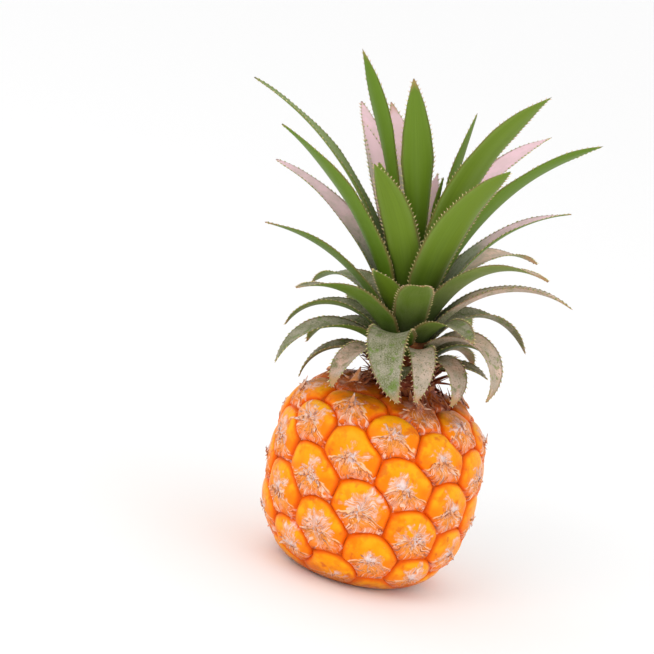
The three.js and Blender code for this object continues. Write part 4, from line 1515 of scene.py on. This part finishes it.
def leaf_finish(name, colours, outer_bloom, dry):
    """A leaf finish from its green, its foot green for painted shade, bloom, blush and worn colours.

    outer_bloom says how much bloom the outer face has, and dry how far the tip has dried."""
    green, deep_green, bloom, blush, worn = [tint(code) for code in colours]
    finish, wire, shader = new_finish(name, 0.5)
    place = wire.place()
    blade_place = wire.map("blade_map")
    along = blade_place[1]
    from_middle = wire.math("ABSOLUTE", wire.times(wire.minus(blade_place[0], 0.5), 2.0))
    mark_node = wire.node("ShaderNodeAttribute", attribute_name="leaf_mark")
    mark = wire.split(mark_node.outputs["Vector"])
    upper_face, age, seed = mark[0], mark[1], mark[2]
    fibre_place = wire.triple(
        wire.times(blade_place[0], 7.0), wire.times(along, 0.45), wire.times(seed, SEED_STEP),
    )
    fine = wire.group(fibre_group, {"Place": fibre_place, "Cover": 0.3})["Fine"]
    blotches = wire.group(blotch_group, {"Place": place, "Size": 0.0035, "Cover": 0.45})
    drift = wire.noise(place, 45.0, 2.0)
    old = wire.math("MAXIMUM", wire.smooth(age, 0.3, 0.7), wire.rest(wire.smooth(along, 0.25, 0.6)))

    face_colour = leaf_green(wire, green, deep_green, along, from_middle, seed, drift, fine)
    bloom_colour = wire.mix(wire.smooth(fine, 0.35, 0.7), bloom, worn)
    bloom_colour = wire.mix(leaf_blush(wire, place, along, age, seed, drift), bloom_colour, blush)
    bloom_colour = leaf_bloom(wire, bloom_colour, place, age, old, deep_green)
    cover = wire.plus(outer_bloom, wire.times(upper_face, 1.0 - outer_bloom))
    cover = wire.times(cover, mark_node.outputs["Alpha"])
    wear = wire.rest(wire.times(wire.times(blotches["Blotch"], old), 0.6))
    colour = wire.mix(wire.times(cover, wear), face_colour, bloom_colour)
    colour = leaf_dry(wire, colour, along, from_middle, age, seed, drift, dry)

    wire.put(shader.inputs["Base Color"], colour)
    shader.inputs["Specular IOR Level"].default_value = 0.3
    gloss = wire.plus(0.42, wire.times(cover, 0.3))
    wire.put(shader.inputs["Roughness"], wire.plus(gloss, wire.times(fine, 0.12)))
    wire.bump(shader, fine, 0.3 * MM, 0.2)
    return finish


# The second colour of each set is a deep green: painted shade at the foot of a leaf, and also the
# colour of its ribs and worn spots.
INNER_COLOURS = ("6E8820", "2F4506", "A8AC90", "EBC6CE", "8A9870")
OUTER_COLOURS = ("66801E", "2C4008", "74784C", "E2BEAA", "58602F")
NECK_COLOURS = ("666C3A", "363E16", "746E48", "C8A08C", "565430")
leaf_finishes = {
    "leaf_inner": leaf_finish("green_leaf", INNER_COLOURS, 0.0, 0.04),
    "leaf_outer": leaf_finish("bloomed_leaf", OUTER_COLOURS, 0.12, 0.1),
    "leaf_neck": leaf_finish("old_leaf", NECK_COLOURS, 0.45, 0.12),
}
print("leaf finishes", sorted(leaf_finishes))

# %% [markdown]
# ### Finish of the spines
# A spine is green where it leaves the leaf and pale straw or pink at its point. The tree that makes
# the spines keeps the height on each cone, and the finish reads it.

# %% Spine finish
spine_finish, wire, shader = new_finish("pale_spine", 0.5)
spine_share = wire.node("ShaderNodeAttribute", attribute_name="spine_share").outputs["Fac"]
pink = wire.smooth(wire.noise(wire.place(), 90.0, 2.0), 0.42, 0.6)
spine_colour = wire.mix(pink, tint("E8D294"), tint("D8B090"))
spine_colour = wire.mix(wire.smooth(spine_share, 0.2, 0.5), tint("8C9A50"), spine_colour)
wire.put(shader.inputs["Base Color"], spine_colour)
print("finish", spine_finish.name)

# %% [markdown]
# ## Grow the crown
# Each leaf gets its blade, its finish and its spines, becomes one plain mesh and takes the place of the
# leaf of the same number in the solids. One mesh for the whole crown would be shorter, but then no
# leaf could be picked out or changed on its own.

# %% Leaves in place
LAST_INNER_LEAF = 20
LAST_OUTER_LEAF = 40
SPINE_SPACING = 2.1
SPINE_LENGTH = 1.45
SPINE_WIDTH = 0.32
SPINE_FIRST_SEED = 40
SPINE_FACES = SPINE_SIDES + 1


def leaf_slot(number):
    """The slot of a leaf, from the innermost one outwards."""
    if number <= LAST_INNER_LEAF:
        return "leaf_inner"
    return "leaf_outer" if number <= LAST_OUTER_LEAF else "leaf_neck"


spine_total = 0
for index in range(len(LEAVES)):
    crown_leaf = leaf_blade(index)
    slot_name = leaf_slot(index + 1)
    crown_leaf.data.materials.append(leaf_finishes[slot_name])
    blade_faces = len(crown_leaf.data.polygons)
    modifier = crown_leaf.modifiers.new("spines", "NODES")
    modifier.node_group = spine_tree
    set_inputs(modifier, {
        "Spacing": SPINE_SPACING * MM, "Length": SPINE_LENGTH * MM, "Width": SPINE_WIDTH * MM,
        "Seed": SPINE_FIRST_SEED + index, "Finish": spine_finish,
    })
    settle(crown_leaf)
    spine_total += (len(crown_leaf.data.polygons) - blade_faces) // SPINE_FACES
    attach(crown_leaf, "root")
    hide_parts(f"leaf_{index + 1:02d}")
print("about", spine_total, "spines")

# %% [markdown]
# ## Hand over the fruit
# The skin, the neck and the dry bracts together stand for the one solid of the fruit. They stay five
# pieces, because each has its own way of being made, and all of them ride on the same body.

# %% Fruit pieces in place
for piece in (fruit_skin, crown_neck, bract_tips, flower_flakes, neck_collar):
    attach(piece, "root")
    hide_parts("fruit")
    print(piece.name, len(piece.data.polygons), "faces")
